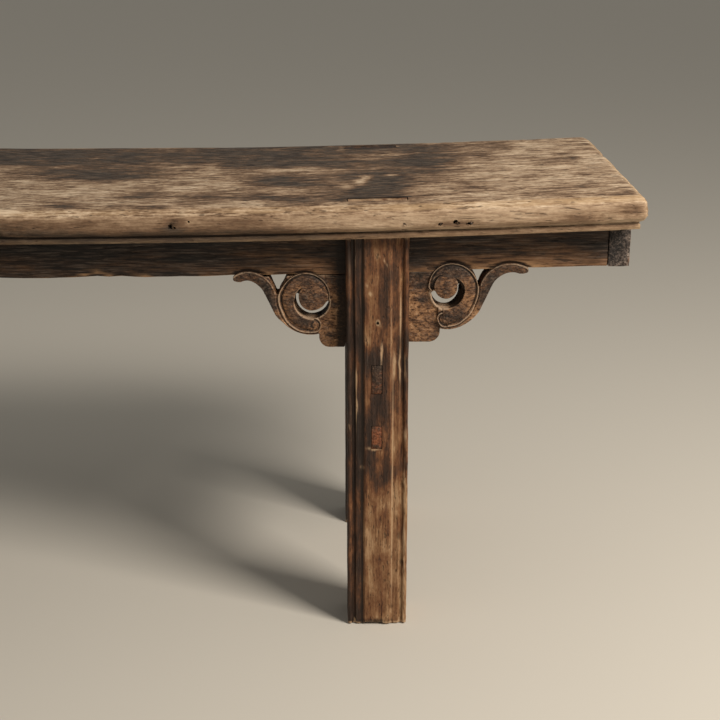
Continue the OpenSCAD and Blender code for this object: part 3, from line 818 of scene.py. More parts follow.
# Half of the leg's section, from the middle of the face to the middle of the back. Y is how deep a point
# lies behind the face.
def halfLegSection():
    half = leg["width"] / 2
    stripFrom = leg["field"] / 2 + leg["step"]
    slopeFrom = stripFrom + leg["strip"]
    grooveFrom = slopeFrom + leg["slope"]
    grooveDeep = leg["beadIn"] + leg["beadRadius"]
    bead = (half - leg["beadRadius"], grooveDeep)
    back = (half - leg["backRadius"], leg["depth"] - leg["backRadius"])
    front = [(leg["field"] / 2, 0), (stripFrom, leg["stripDeep"])]
    front += [(slopeFrom, leg["stripDeep"]), (grooveFrom, grooveDeep)]
    front += arcPoints(bead, leg["beadRadius"], 180, 360, 10)
    return front + arcPoints(back, leg["backRadius"], 0, 90, 5)


# Draws a closed outline point by point and fills it
def drawFace(name, outline, z):
    deselectAll()
    bpy.ops.mesh.primitive_plane_add(size=1 * mm)
    piece = bpy.context.object
    piece.name = name
    bpy.ops.object.mode_set(mode="EDIT")
    bpy.ops.mesh.select_mode(type="VERT")
    bpy.ops.mesh.select_all(action="SELECT")
    bpy.ops.mesh.merge(type="CENTER")
    bpy.ops.transform.translate(value=(outline[0][0], outline[0][1], z))
    for here, there in zip(outline, outline[1:]):
        step = (there[0] - here[0], there[1] - here[1], 0)
        bpy.ops.mesh.extrude_vertices_move(TRANSFORM_OT_translate={"value": step})
    bpy.ops.mesh.select_all(action="SELECT")
    bpy.ops.mesh.edge_face_add()
    bpy.ops.object.mode_set(mode="OBJECT")
    return piece


def finerOutline(points, longest):
    finer = []
    for here, there in zip(points, points[1:] + points[:1]):
        parts = max(1, math.ceil(math.dist(here, there) / longest(here, there)))
        finer += [[a + (b - a) * at / parts for a, b in zip(here, there)] for at in range(parts)]
    return finer


def extrudeUp(piece, height):
    editWhole(piece)
    bpy.ops.mesh.extrude_region_move(TRANSFORM_OT_translate={"value": (0, 0, height)})
    bpy.ops.mesh.select_all(action="SELECT")
    bpy.ops.mesh.normals_make_consistent(inside=False)
    bpy.ops.object.mode_set(mode="OBJECT")


# Dents and breaks in the legs' mouldings: across from the middle, height, half sizes and how deep
legChips = [
    (0.024, 0.15, 0.006, 0.02, 1.6), (0.029, 0.205, 0.005, 0.03, 2.0), (-0.028, 0.11, 0.005, 0.02, 1.2),
    (0.03, 0.09, 0.004, 0.024, 1.8), (0.02, 0.318, 0.005, 0.02, 1.4), (0.03, 0.33, 0.005, 0.012, 1.8),
    (0.0, 0.215, 0.009, 0.004, 1.6), (-0.006, 0.18, 0.004, 0.004, 0.8), (0.032, 0.262, 0.004, 0.012, 1.4),
    (0.006, 0.345, 0.004, 0.014, 0.9), (-0.01, 0.318, 0.004, 0.008, 0.8), (0.012, 0.03, 0.01, 0.008, 1.6),
    (-0.012, 0.14, 0.003, 0.012, 0.8), (-0.033, 0.24, 0.004, 0.03, 1.2), (0.033, 0.03, 0.006, 0.014, 1.8),
]


# How far each leg's foot has gone to the right
legLean = (1.3 * mm, 0.4 * mm, 1.6 * mm, -0.6 * mm)


def wearLeg(piece, sideX, sideY, seed, lean):
    points, normals = readPoints(piece)
    across = points[:, 0] * sideX - build["legX"]
    back = points[:, 1] * -sideY
    faceDeep = build["faceY"] - back
    high = points[:, 2]
    broad = unevenAt(points, (18, 18, 7), seed)
    close = unevenAt(points, (110, 110, 28), seed + 4)
    fine = unevenAt(points, (320, 320, 90), seed + 8)
    loss = 0.25 * mm * broad + 0.40 * mm * close * close + 0.20 * mm * fine
    # The beads and outer edges are knocked about most
    outer = smoothStep(0.026, 0.033, abs(across))
    loss += outer * mm * (0.9 * numpy.clip(close - 0.45, 0, 1) + 0.3 * broad)
    for x, z, halfX, halfZ, most in legChips:
        chipZ = z + 0.02 * math.sin(seed)
        away = ((across - x) / halfX) ** 2 + ((high - chipZ) / halfZ) ** 2 + (faceDeep / 0.012) ** 2
        near = away < 5
        if near.any():
            ragged = 0.5 + noiseAt(points[near], (260, 260, 120), seed + x * 90)
            loss[near] += most * mm * numpy.exp(-away[near]) * numpy.clip(ragged, 0, 1.3)
    # The foot is rounded off and broken along its lower edge
    footEdge = smoothStep(0.009, 0.0, high) * (0.3 + close)
    loss += footEdge * mm
    underSeat = high < build["seatZ"] - build["plankThick"]
    moved = points - normals * loss[:, None] * underSeat[:, None]
    ragged = unevenAt(points, (70, 40, 0), seed + 15)
    hollow = smoothStep(-0.020, -0.012, across) * smoothStep(0.010, 0.002, across)
    lift = smoothStep(0.020, 0.0, faceDeep) * (0.3 + 0.8 * ragged + 2.4 * hollow) * mm + 0.3 * mm * ragged
    moved[:, 2] += smoothStep(0.012, 0.0, high) * lift
    moved[:, 0] += lean * smoothStep(0.47, 0.20, high)
    writePoints(piece, moved)


# Marks on a leg's face by place from its middle and height, half sizes and strength. A coat below zero is
# bare wood.
legCoat = [
    (0.006, 0.38, 0.01, 0.026, 0.35), (-0.004, 0.316, 0.014, 0.02, 0.35), (0.004, 0.27, 0.016, 0.045, 0.35),
    (-0.008, 0.235, 0.008, 0.03, 0.25), (0.01, 0.19, 0.01, 0.018, 0.25), (0.018, 0.3, 0.01, 0.02, -0.45),
    (-0.009, 0.345, 0.006, 0.01, -0.35), (-0.006, 0.3, 0.004, 0.01, -0.35),
    (0.0045, 0.2135, 0.005, 0.0035, -0.6), (0.028, 0.26, 0.006, 0.06, 0.25), (0.03, 0.2, 0.005, 0.05, 0.3),
    (-0.026, 0.33, 0.008, 0.06, 0.15),
]
# Pale marks: rubs, and painted highlights down the right-facing slopes of the mouldings
legRubAndHighlight = [
    (-0.011, 0.407, 0.0016, 0.002, 0.8), (-0.0077, 0.399, 0.002, 0.002, 0.9),
    (0.026, 0.378, 0.0014, 0.026, 0.9), (0.028, 0.317, 0.0034, 0.014, 1.2),
    (0.019, 0.318, 0.002, 0.016, 0.8), (0.005, 0.333, 0.0014, 0.01, 1.0),
    (0.0045, 0.312, 0.0012, 0.01, 0.6), (-0.004, 0.219, 0.009, 0.0016, 0.9),
    (-0.016, 0.196, 0.0025, 0.003, 0.8), (0.0178, 0.15, 0.0011, 0.16, 0.75),
    (0.002, 0.44, 0.001, 0.0018, 0.6), (0.0046, 0.4375, 0.001, 0.0018, 0.7),
    (0.0072, 0.435, 0.001, 0.0018, 0.8), (0.0098, 0.432, 0.001, 0.0018, 0.9),
    (0.0124, 0.4285, 0.001, 0.0018, 1.0), (0.03, 0.235, 0.003, 0.006, 0.8),
    (0.029, 0.185, 0.002, 0.01, 0.7), (-0.023, 0.3, 0.0016, 0.012, 0.7),
    (-0.0215, 0.27, 0.0016, 0.008, 0.5), (0.029, 0.11, 0.0035, 0.012, 0.6),
    (0.0155, 0.36, 0.001, 0.08, 0.35), (0.0264, 0.33, 0.0012, 0.11, 0.45), (0.0318, 0.1, 0.0014, 0.12, 0.4),
    (0.001, 0.3655, 0.0026, 0.0026, 1.2), (0.004, 0.363, 0.0016, 0.002, 0.5),
]
# Dark marks: dirt, and painted shade down the left grooves of the mouldings and along the foot's lower edge
legDirtAndShade = [
    (-0.016, 0.3, 0.0014, 0.6, 1.2), (-0.0255, 0.28, 0.002, 0.4, 0.6), (0.0265, 0.112, 0.003, 0.005, 0.8),
    (0.032, 0.318, 0.0014, 0.01, 0.9), (0.007, 0.324, 0.0014, 0.008, 0.9),
    (0.0006, 0.3656, 0.0013, 0.0013, 2.0), (-0.001, 0.004, 0.018, 0.004, 0.8),
]


# Every leg has the same marks, but mirrored on the left and a little higher from leg to leg
def markLeg(piece, sideX, sideY, at):
    points = readPoints(piece)[0]
    across = sideX * (points[:, 0] - sideX * build["legX"])
    high = points[:, 2] - leg["markShift"] * at
    onFace = smoothStep(0.006, 0.003, points[:, 1] * sideY + build["faceY"])
    level = numpy.interp(points[:, 2], (0.0, 0.010, 0.030, 0.150, 0.190, 0.330, 0.370, 0.420, 0.470),
                         (0.45, 0.30, 0.12, 0.10, 0.50, 0.62, 0.54, 0.40, 0.42))
    coatAndShade = level + onFace * sumSpots(across, high, legCoat) + 0.15 * (1 - onFace)
    # The mouldings left of the field are darkened as painted shade, and those right of it lower down are
    # lightened as painted light
    leftSide = smoothStep(-0.013, -0.018, across)
    coatAndShade += leftSide * numpy.interp(points[:, 2], (0.0, 0.30, 0.40), (0.60, 0.42, 0.26))
    coatAndShade -= 0.34 * smoothStep(0.014, 0.018, across) * smoothStep(0.30, 0.24, high)
    holesMiddle = (stretcher["upperZ"] + stretcher["lowerZ"]) / 2
    tenonTop = points[:, 2] > undersideZ(build["legX"]) + 5 * mm
    coatAndShade[tenonTop] = 0.25 if sideY > 0 else 0.75
    fromHoles = abs(points[:, 2] - holesMiddle)
    nearHoles = smoothStep(0.012, 0.008, abs(across)) * smoothStep(0.075, 0.062, fromHoles)
    patchy = (0.25 + 0.35 * noiseAt(points, (40, 40, 12), 61.0 + at)) * (1 - nearHoles)
    chipped = numpy.clip(0.55 + 0.9 * noiseAt(points, (170, 60, 0), 75.0), 0, 1)
    rubAndHighlight = numpy.where(tenonTop, 0.95 * chipped * (sideY > 0), onFace * sumSpots(across, high, legRubAndHighlight))
    dirtAndShade = onFace * sumSpots(across, high, legDirtAndShade)
    fromRear = abs(points[:, 1]) - seat["mortiseFar"]
    dirtAndShade[tenonTop] = 0.9 * smoothStep(0.0035, 0.0020, fromRear[tenonTop])
    markWearAndShade(piece, 6, 0.5 * mm, rubAndHighlight, dirtAndShade, coatAndShade, numpy.where(tenonTop, 0, patchy))


def makeLeg(name, sideX, sideY, at):
    halfSection = halfLegSection()
    outline = halfSection + [(-x, y) for x, y in reversed(halfSection)]
    middleX = sideX * build["legX"]
    fine = finerOutline(outline, lambda here, there: 1.3 * mm if min(here[1], there[1]) < 6 * mm else 4 * mm)
    place = [(middleX + x, sideY * (y - build["faceY"])) for x, y in fine]
    piece = drawFace(name, place, 0)
    top = undersideZ(build["legX"])
    extrudeUp(piece, top)
    cutAlong(piece, 2, leg["cuts"])
    cutters = []
    gap = build["gap"]
    slotFrom = -build["apronY"] - gap
    slotTo = -build["apronY"] + build["apronThick"] + gap
    boxes = [((-0.05, slotFrom, slotZ - gap), (0.05, slotTo, top + 0.02))]
    play = 0.35 * mm
    for rail in ("upper", "lower"):
        middle = stretcher[rail + "Z"]
        half = stretcher[rail + "High"] / 2 - stretcher["shoulder"] + play
        wide = stretcher["tenonWide"] / 2 + play
        back = -build["faceY"] + leg["depth"] + 0.012
        boxes.append(((-wide, -build["faceY"] - 0.01, middle - half), (wide, back, middle + half)))
    for low, high in boxes:
        ends = sorted([sideY * low[1], sideY * high[1]])
        cutters.append(addBlock("cutter", (middleX + low[0], ends[0], low[2]),
                                (middleX + high[0], ends[1], high[2])))
    # A peg locks the upper bridle joint. Its head has sunk into its hole.
    pegPlace = (middleX + leg["pegAcross"], -sideY * build["faceY"], leg["pegZ"])
    cutters.append(addPin(pegPlace, leg["pegRadius"], 8 * mm, 12))
    wearLeg(piece, sideX, sideY, 10.0 + 7 * at, legLean[at])
    cutWith(piece, cutters)
    # Scribe the head to the plank and add the tenons
    points = readPoints(piece)[0]
    atTop = points[:, 2] > top - 1e-4
    points[atTop, 2] = [undersideZ(x) - gap for x in points[atTop, 0]]
    writePoints(piece, points)
    half = leg["width"] / 2 - leg["tenonSide"]
    grooveDeep = leg["beadIn"] + leg["beadRadius"]
    through = (grooveDeep, leg["cheek"] - gap, build["plankThick"] - 0.6 * mm)
    stub = (leg["cheek"] + build["apronThick"] + gap, leg["depth"] - leg["backRadius"], leg["stub"])
    tenons = []
    for deepFrom, deepTo, rise in (through, stub):
        ends = sorted([sideY * (deepFrom - build["faceY"]), sideY * (deepTo - build["faceY"])])
        tenon = addBlock("tenon", (middleX - half, ends[0], top - 4 * mm),
                         (middleX + half, ends[1], top + rise))
        cutAlong(tenon, 0, 12)
        cutAlong(tenon, 1, 4)
        points = readPoints(tenon)[0]
        atTop = points[:, 2] > top
        points[atTop, 2] += [sagLift(x) - sagLift(build["legX"]) for x in points[atTop, 0]]
        points[atTop, 2] -= (0.6 + 0.9 * noiseAt(points[atTop], (90, 160, 0), 5.0 + at)) * mm
        writePoints(tenon, points)
        tenons.append(tenon)
    joinPieces(piece, tenons)
    markLeg(piece, sideX, sideY, at)
    shadeSoft(piece, 24)
    row = "front" if sideY > 0 else "rear"
    hand = "right" if sideX > 0 else "left"
    finishPiece(piece, legElm, [f"leg_{row}_{hand}"])


# Each leg by its side, 1 for the right and for the front row
for at, (sideX, sideY) in enumerate(((1, 1), (-1, 1), (1, -1), (-1, -1))):
    makeLeg(f"leg{at + 1}", sideX, sideY, at)
print("legs ready")


# The stretchers, shouldered between the legs of each end

def makeStretcher(name, sideX, middle, high, node, seed, endCoat):
    shoulderY = build["faceY"] - leg["depth"]
    place = sideX * build["legX"]
    half = stretcher["thick"] / 2
    rise = high / 2
    piece = addBlock(name, (place - half, -shoulderY, middle - rise),
                     (place + half, shoulderY, middle + rise))
    makeActive(piece)
    bpy.ops.object.mode_set(mode="EDIT")
    bpy.ops.mesh.select_mode(type="EDGE")
    bpy.ops.mesh.select_all(action="DESELECT")
    bpy.ops.object.mode_set(mode="OBJECT")
    corners = piece.data.vertices
    for edge in piece.data.edges:
        edge.select = abs(corners[edge.vertices[0]].co.y - corners[edge.vertices[1]].co.y) > shoulderY
    bpy.ops.object.mode_set(mode="EDIT")
    bpy.ops.mesh.bevel(offset=stretcher["edge"], segments=6)
    bpy.ops.object.mode_set(mode="OBJECT")
    cutAlong(piece, 1, 70)
    cutAlong(piece, 2, 5)
    points, normals = readPoints(piece)
    worn = unevenAt(points, (60, 14, 60), seed)
    close = unevenAt(points, (180, 50, 180), seed + 3)
    loss = (0.9 * worn + 0.6 * close * close) * mm * (abs(points[:, 1]) < shoulderY - 0.5 * mm)
    writePoints(piece, points - normals * loss[:, None])
    rise = rise - stretcher["shoulder"]
    half = stretcher["tenonWide"] / 2
    ends = build["faceY"] - 0.9 * mm
    tenon = addBlock("tenon", (place - half, -ends, middle - rise), (place + half, ends, middle + rise))
    softenEdges(tenon, 0.6 * mm, 2)
    joinPieces(piece, [tenon])
    # The tenons' ends are bare
    out = abs(readPoints(piece)[0][:, 1])
    coatAndShade = 0.75 - (0.75 - endCoat) * smoothStep(ends - 3 * mm, ends - 1 * mm, out)
    markWearAndShade(piece, 8, 0.5 * mm, 0.0, 0.0, coatAndShade, 0.8 * smoothStep(ends - 3 * mm, ends - 5 * mm, out))
    shadeSoft(piece, 40)
    finishPiece(piece, stretcherElm, [node])


for sideX, hand in ((1, "right"), (-1, "left")):
    for rail, seed, endCoat in (("upper", 50, 0.50), ("lower", 60, 0.12)):
        makeStretcher(f"stretcher{rail.title()}_{hand}", sideX, stretcher[rail + "Z"],
                      stretcher[rail + "High"], f"stretcher_{hand}_{rail}", seed + 3 * sideX, endCoat)
print("stretchers ready")


# The carved scrolls. X is the distance from the leg's side, and Y the height over the apron's lower edge.

scroll = {
    "middleX": 0.045,
    "middleZ": 0.015,
    "radius": 0.0263,
    "step": 0.0034,
    "sweepUp": 0.015,
    "bandEnd": 0.0025,
    "curlRadius": 0.0085,
    "eyeRadius": 0.0135,
    "eyeX": 0.0055,
    "armX": 0.107,
    "armZ": 0.021,
    "armShare": 0.6,
    "armRadius": 0.032,
    "notchZ": 0.015,
    "innerDrop": 0.005,
    "pierceX": 0.0065,
    "pierceZ": 0.0063,
    "pierceRadius": 0.019,
    "voxel": 0.00064,
    "keep": 0.42,
    "tailEyeX": 0.0365,
    "tailEyeZ": 0.0527,
    "tongueFrom": 0.0295,
}
# The middle of the curl that ends the sweep under the volute
curlX = scroll["middleX"] - scroll["curlRadius"]
curlY = scroll["bandEnd"] + scroll["curlRadius"] + scroll["sweepUp"] - build["spandrelHigh"]


# How far inside the volute's outline a point lies, negative outside
def insideVolute(x, y, drop):
    middleY = -scroll["middleZ"] - drop
    farY = middleY - scroll["step"]
    farRadius = scroll["radius"] + scroll["step"]
    lowRadius = farY + build["spandrelHigh"] - scroll["sweepUp"] - scroll["bandEnd"]
    lowX = scroll["middleX"] + farRadius - lowRadius
    fromMiddle = x - scroll["middleX"]
    near = scroll["radius"] - numpy.hypot(fromMiddle, y - middleY)
    far = numpy.where((fromMiddle > 0) & (y > farY), farRadius - numpy.hypot(fromMiddle, y - farY), -1)
    low = numpy.where((x > curlX) & (y <= farY), lowRadius - numpy.hypot(x - lowX, y - farY), -1)
    curl = scroll["curlRadius"] - numpy.hypot(x - curlX, y - curlY)
    return numpy.maximum.reduce([near, far, low, curl])


# How far inside the arm's back a point above the notch lies
def insideArm(x, y, drop):
    middleY = -scroll["armZ"] - scroll["armShare"] * drop
    return scroll["armRadius"] - numpy.hypot(x - scroll["armX"], y - middleY)


# A soft line: 1 where the distance is the middle value, and fading over the width to both sides
def lineAt(distance, middle, width):
    return numpy.exp(-((distance - middle) / width) ** 2)


# Dirt and painted shadow in the corner beside a leg, by the distance from it
def besideLegDirtAndShadow(distance):
    return 0.9 * smoothStep(0.0155, 0.0050, distance)


# The real scrolls were cut freehand. These shifts, by the distance from the leg, follow the photo.
def freehandShift(x, y, drop):
    low = smoothStep(-0.045, -0.058, y)
    if drop == 0:
        upper = numpy.interp(x, (0, 0.018, 0.040, 0.060, 0.075, 0.095, 0.125),
                             (0, 2.7, 1.3, 1.3, 1.8, 3.0, 5.3))
        lower = numpy.interp(x, (0, 0.022, 0.031, 0.045, 0.060, 0.125), (0, 4.0, 4.3, 3.0, 1.2, 1.2))
        return (upper * (1 - low) + lower * low) * mm, numpy.zeros(len(x))
    upper = numpy.interp(x, (0, 0.018, 0.031, 0.070, 0.077, 0.095, 0.125),
                         (0, -2.4, -2.2, -2.9, -0.3, -0.6, -3.2))
    lower = numpy.interp(x, (0, 0.031, 0.070, 0.125), (0, -2.1, -2.9, -3.2))
    fall = 5.2 + 0.3 * smoothStep(-0.030, -0.070, y)
    return (upper * (1 - low) + lower * low) * mm, -fall * mm * smoothStep(-0.001, 0.001, x)


# Widens or narrows a round hole: the shares are for the leg's side, the bottom and the far side
def pushRound(x, y, middle, radius, shares):
    away = numpy.hypot(x - middle[0], y - middle[1])
    wayX = (x - middle[0]) / numpy.maximum(away, 1e-6)
    wayY = (y - middle[1]) / numpy.maximum(away, 1e-6)
    sides = (numpy.clip(-wayX, 0, 1), numpy.clip(-wayY, 0, 1), numpy.clip(wayX, 0, 1))
    push = sum(share * side ** 2 for share, side in zip(shares, sides)) * mm
    push = push * numpy.exp(-((away - radius) / 0.0035) ** 2) * smoothStep(0.006, 0.001, y - middle[1])
    return push * wayX, push * wayY


# Patches of darker lacquer on the front right scroll's face: place, half sizes and strength
scrollSpots = [
    (0.02, 0.0, 0.02, 0.01, 0.25), (0.088, -0.012, 0.007, 0.016, 0.4), (0.05, -0.05, 0.012, 0.007, 0.3),
    (0.006, 0.0, 0.012, 0.014, 0.35), (0.012, -0.015, 0.006, 0.003, 0.5),
    (0.013, -0.03, 0.006, 0.003, 0.55), (0.02, -0.06, 0.012, 0.008, 0.25),
    (0.07, -0.046, 0.009, 0.014, -0.45), (0.08, -0.026, 0.006, 0.01, 0.5),
    (0.008, -0.04, 0.012, 0.014, -0.25), (0.06, -0.004, 0.012, 0.01, -0.15),
    (0.036, -0.012, 0.01, 0.01, -0.12), (0.062, -0.03, 0.006, 0.012, -0.1),
]


def carveSpandrel(piece, handX, drop):
    points, normals = readPoints(piece)
    x = handX * (points[:, 0] - build["legX"]) - leg["width"] / 2
    y = points[:, 2] - apronZ
    raised = -points[:, 1] - build["apronY"]
    onTop = smoothStep(0.0008, 0.0024, raised)
    # Low on the far side the volute's edge is cut close to the outline
    inside = insideVolute(x, y, drop) + 2.0 * mm * smoothStep(-0.034, -0.050, y) * smoothStep(0.036, 0.055, x)
    notchY = -scroll["notchZ"] - scroll["armShare"] * drop
    armInside = insideArm(x, y, drop)
    eyeMiddle = (scroll["middleX"] - scroll["eyeX"], -scroll["middleZ"] - drop)
    pierceMiddle = (scroll["middleX"] - scroll["pierceX"], eyeMiddle[1] - scroll["pierceZ"])
    eyeAway = numpy.hypot(x - eyeMiddle[0], y - eyeMiddle[1])
    pierceAway = numpy.hypot(x - pierceMiddle[0], y - pierceMiddle[1])
    isVolute = smoothStep(-0.0002, 0.0004, inside)
    soft = unevenAt(points, (120, 120, 120), 3.0 + 900 * drop)
    fine = unevenAt(points, (420, 420, 420), 5.0 + 900 * drop)
    # The bead along the edge, the groove inside it, and the domed ribbon and eye
    farSide = smoothStep(0.040, 0.062, x) * smoothStep(0.004, -0.010, y)
    grooveDeep = 0.30 + (0.9 * farSide if drop else 0.1 * farSide)
    edgeBead = 0.45 * (0.5 + soft) * lineAt(inside, 0.0008, 0.0007)
    height = isVolute * (edgeBead - grooveDeep * lineAt(inside, 0.0026, 0.0012)) * mm
    height += isVolute * smoothStep(0.0034, 0.0090, inside) * 0.6 * mm
    height += (0.9 * mm) * numpy.clip(1 - (eyeAway / scroll["eyeRadius"]) ** 2, 0, 1)
    # A groove parts the volute from the band, and a bead follows the arm's back
    height -= (1 - isVolute) * (1.5 * mm) * lineAt(inside, -0.0009, 0.0008)
    back = numpy.where(y > notchY, armInside, -inside)
    onArm = (1 - isVolute) * (x > scroll["middleX"])
    armBead = 0.35 * lineAt(back, 0.0012, 0.0008) * (y > notchY - 0.01)
    height += onArm * (armBead - 0.35 * lineAt(back, 0.0032, 0.0012)) * mm
    height -= onArm * smoothStep(0.004, 0.013, back) * mm
    # Pockets run on from the crescent's horns, round the eye, cut in and painted dark as deep shade
    turn = numpy.degrees(numpy.arctan2(y - eyeMiddle[1], -(x - eyeMiddle[0])))
    turn = numpy.where(turn < -120, turn + 360, turn)
    outsideEye = eyeAway - scroll["eyeRadius"]
    near = numpy.clip((turn + 14) / 90, 0, 1)
    nearWide = 0.0052 * (1 - near)
    nearPocket = (turn > -14) * (turn < 76) * smoothStep(0.0, 0.0008, outsideEye)
    nearPocket = nearPocket * smoothStep(nearWide + 0.0008, nearWide, outsideEye)
    far = numpy.clip((turn - 140) / 60, 0, 0.667)
    farWide = (0.0090 if drop == 0 else 0.0055) * far
    farPocket = (turn > 140) * (turn < 205) * smoothStep(-0.0004, 0.0006, outsideEye)
    farPocket = farPocket * smoothStep(farWide + 0.0008, farWide, outsideEye)
    pocket = farPocket + (nearPocket if drop == 0 else 0.3 * nearPocket)
    height -= (farPocket + nearPocket * (1 - near) ** 0.5 * (1.0 if drop == 0 else 0.3)) * 2.4 * mm
    # The curl is a small hook with a pit inside
    curlAway = numpy.hypot(x - curlX - 0.001, y - curlY)
    hook = 0.7 * lineAt(curlAway, 0.0046, 0.0010) * (x < curlX + 0.002)
    height -= (hook + 0.6 * lineAt(curlAway, 0.0, 0.0020)) * mm
    # The inner scrolls' curls hold a small round eye
    tailAway = numpy.hypot(x - scroll["tailEyeX"], y + scroll["tailEyeZ"])
    tailEye = (drop > 0) * lineAt(tailAway, 0.0032, 0.0011) * smoothStep(0.0355, 0.0370, x)
    height -= 0.5 * mm * tailEye
    # A thin rim stands up under the crescent
    rim = lineAt(pierceAway, scroll["pierceRadius"] + 0.0012, 0.0011) * (1 - isVolute)
    rim = rim * (y < pierceMiddle[1] + 0.003) * (raised > -0.5 * mm) * (x < scroll["middleX"] + 0.012)
    moved = points.copy()
    moved[:, 1] -= onTop * height + (1 - onTop) * rim * 1.8 * mm
    jointed = smoothStep(0.0005, -0.0015, y) + onTop
    knocks = (0.30 * soft + 0.22 * fine) * mm * numpy.clip(jointed, 0, 1) * (y < scroll["tongueFrom"])
    moved -= normals * knocks[:, None]
    # The freehand shape
    outward, upward = freehandShift(x, y, drop)
    # The crescent's far wall leans in towards the back
    deep = smoothStep(0.0, -0.008, raised)
    eyeShares = (4.8, 3.0, 0.6) if drop else (0.2, 0.5, -0.8)
    rimShares = (-0.6, 0.0, 0.6 - 1.6 * deep) if drop else (-3.2, -0.6, 1.6 - 4.6 * deep)
    for middle, radius, shares in ((eyeMiddle, scroll["eyeRadius"], eyeShares),
                                   (pierceMiddle, scroll["pierceRadius"], rimShares)):
        pushX, pushY = pushRound(x, y, middle, radius, shares)
        outward = outward + pushX
        upward = upward + pushY
    onEdge = smoothStep(-0.0030, -0.0012, numpy.maximum(inside, armInside))
    onEdge = onEdge * smoothStep(-0.0012, -0.0005, raised)
    upward = upward * numpy.clip(onTop + onEdge + smoothStep(0.001, -0.010, y), 0, 1)
    # The arms grow thin towards their tips
    thin = smoothStep(0.092, 0.112, x) * (1 - isVolute) * smoothStep(0.002, 0.009, armInside)
    upward = upward + 2.0 * mm * thin
    below = smoothStep(-0.001, 0.001, x)
    moved[:, 0] += handX * outward * below
    moved[:, 2] += upward * below
    writePoints(piece, moved)
    # Walls close to the field are painted dark as shade, and so are the crescent's walls apart from the one
    # that faces up, which gets a painted highlight
    upperFar = 0.25 + 0.75 * smoothStep(0.035, 0.055, x) * smoothStep(-0.025, 0.0, y)
    wall = smoothStep(0.0014, 0.0002, raised) * (raised > -0.4 * mm) * (abs(normals[:, 1]) < 0.8) * upperFar
    wall = wall * (y > 0.003 - build["spandrelHigh"])
    pierced = (abs(normals[:, 1]) < 0.6) * (raised < 0.0012) * (pierceAway < scroll["pierceRadius"] + 0.001)
    sill = smoothStep(-0.20, 0.40, normals[:, 2]) * (abs(pierceAway - scroll["pierceRadius"]) < 0.003)
    fromPierce = x - pierceMiddle[0]
    litSide = smoothStep(-0.012, 0.002, fromPierce) if drop else smoothStep(0.012, -0.001, fromPierce)
    sill = sill * (y < pierceMiddle[1]) * (raised < 0.003) * litSide
    dirtAndShade = (wall + pierced) * (1 - sill) + pocket
    if drop:
        dirtAndShade = dirtAndShade + besideLegDirtAndShadow(x) + 0.9 * onTop * tailEye
    dirtAndShade = dirtAndShade + 0.5 * onTop * isVolute * lineAt(inside, 0.0029, 0.0010)
    bead = onTop * isVolute * lineAt(inside, 0.0009, 0.0007) * numpy.clip(1.8 * fine - 0.35, 0, 1)
    bead = bead + onTop * onArm * lineAt(back, 0.0012, 0.0010) * (0.2 + 0.6 * smoothStep(0.100, 0.122, x))
    coatAndShade = 0.22 + 0.25 * onTop + 0.30 * smoothStep(-0.012, 0.004, y) + sumSpots(x, y, scrollSpots)
    coatAndShade = coatAndShade - 0.5 * sill - 0.40 * (drop > 0) * lineAt(tailAway, 0.0, 0.0060)
    return numpy.clip(dirtAndShade, 0, 1), coatAndShade, 0.6 * rim + 0.6 * sill + 0.8 * bead


# An even copy of one of the frame's spandrels, fine enough to carve
def remeshCopy(source, name):
    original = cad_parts[source]
    piece = original.copy()
    piece.data = original.data.copy()
    piece.name = name
    bpy.context.collection.objects.link(piece)
    editWhole(piece)
    bpy.ops.mesh.remove_doubles(threshold=1e-5)
    bpy.ops.object.mode_set(mode="OBJECT")
    even = piece.modifiers.new("Even", "REMESH")
    even.mode = "VOXEL"
    even.voxel_size = scroll["voxel"]
    applyModifier(piece, even)
    soften = piece.modifiers.new("Soften", "SMOOTH")
    soften.factor = 0.5
    soften.iterations = 4
    applyModifier(piece, soften)
    return piece


# Carves the front right one, then mirrors it to the other three places
def makeSpandrels(source, handX, drop, kind):
    first = remeshCopy(source, f"spandrel_{kind}")
    dirtAndShade, coatAndShade, rubAndHighlight = carveSpandrel(first, handX, drop)
    markWearAndShade(first, 10, 0.7 * mm, rubAndHighlight, dirtAndShade, coatAndShade, 0.65)
    fewer = first.modifiers.new("Fewer", "DECIMATE")
    fewer.ratio = scroll["keep"]
    applyModifier(first, fewer)
    for sideX, hand in ((1, "right"), (-1, "left")):
        for sideY, row in ((1, "front"), (-1, "rear")):
            piece = first if sideX == 1 and sideY == 1 else first.copy()
            if piece is not first:
                piece.data = first.data.copy()
                bpy.context.collection.objects.link(piece)
                writePoints(piece, readPoints(piece)[0] * [sideX, sideY, 1])
                if sideX * sideY < 0:
                    editWhole(piece)
                    bpy.ops.mesh.flip_normals()
                    bpy.ops.object.mode_set(mode="OBJECT")
            piece.name = f"scroll_{row}_{hand}_{kind}"
            shadeSoft(piece, 60)
            finishPiece(piece, carvedElm, [f"spandrel_{row}_{hand}_{kind}"])


makeSpandrels("spandrel_front_right_outer", 1, 0.0, "outer")
makeSpandrels("spandrel_front_right_inner", -1, scroll["innerDrop"], "inner")
print("spandrels ready")


# The long aprons and the end aprons that cap them

apron = {
    "endX": 0.6895,
    "endThick": 0.0235,
    "proud": 0.001,
    "edge": 0.0012,
    "carvedReach": 0.172,
}
# Breaks along the lower edge: x, half length, half height, how deep
apronChips = [
    (0.118, 0.02, 0.008, 4.2), (0.137, 0.003, 0.006, 2.6), (0.575, 0.01, 0.004, 1.4),
    (0.285, 0.012, 0.003, 1.2), (-0.06, 0.02, 0.004, 1.8), (-0.23, 0.012, 0.006, 2.4),
    (-0.6, 0.014, 0.005, 2.0),
]


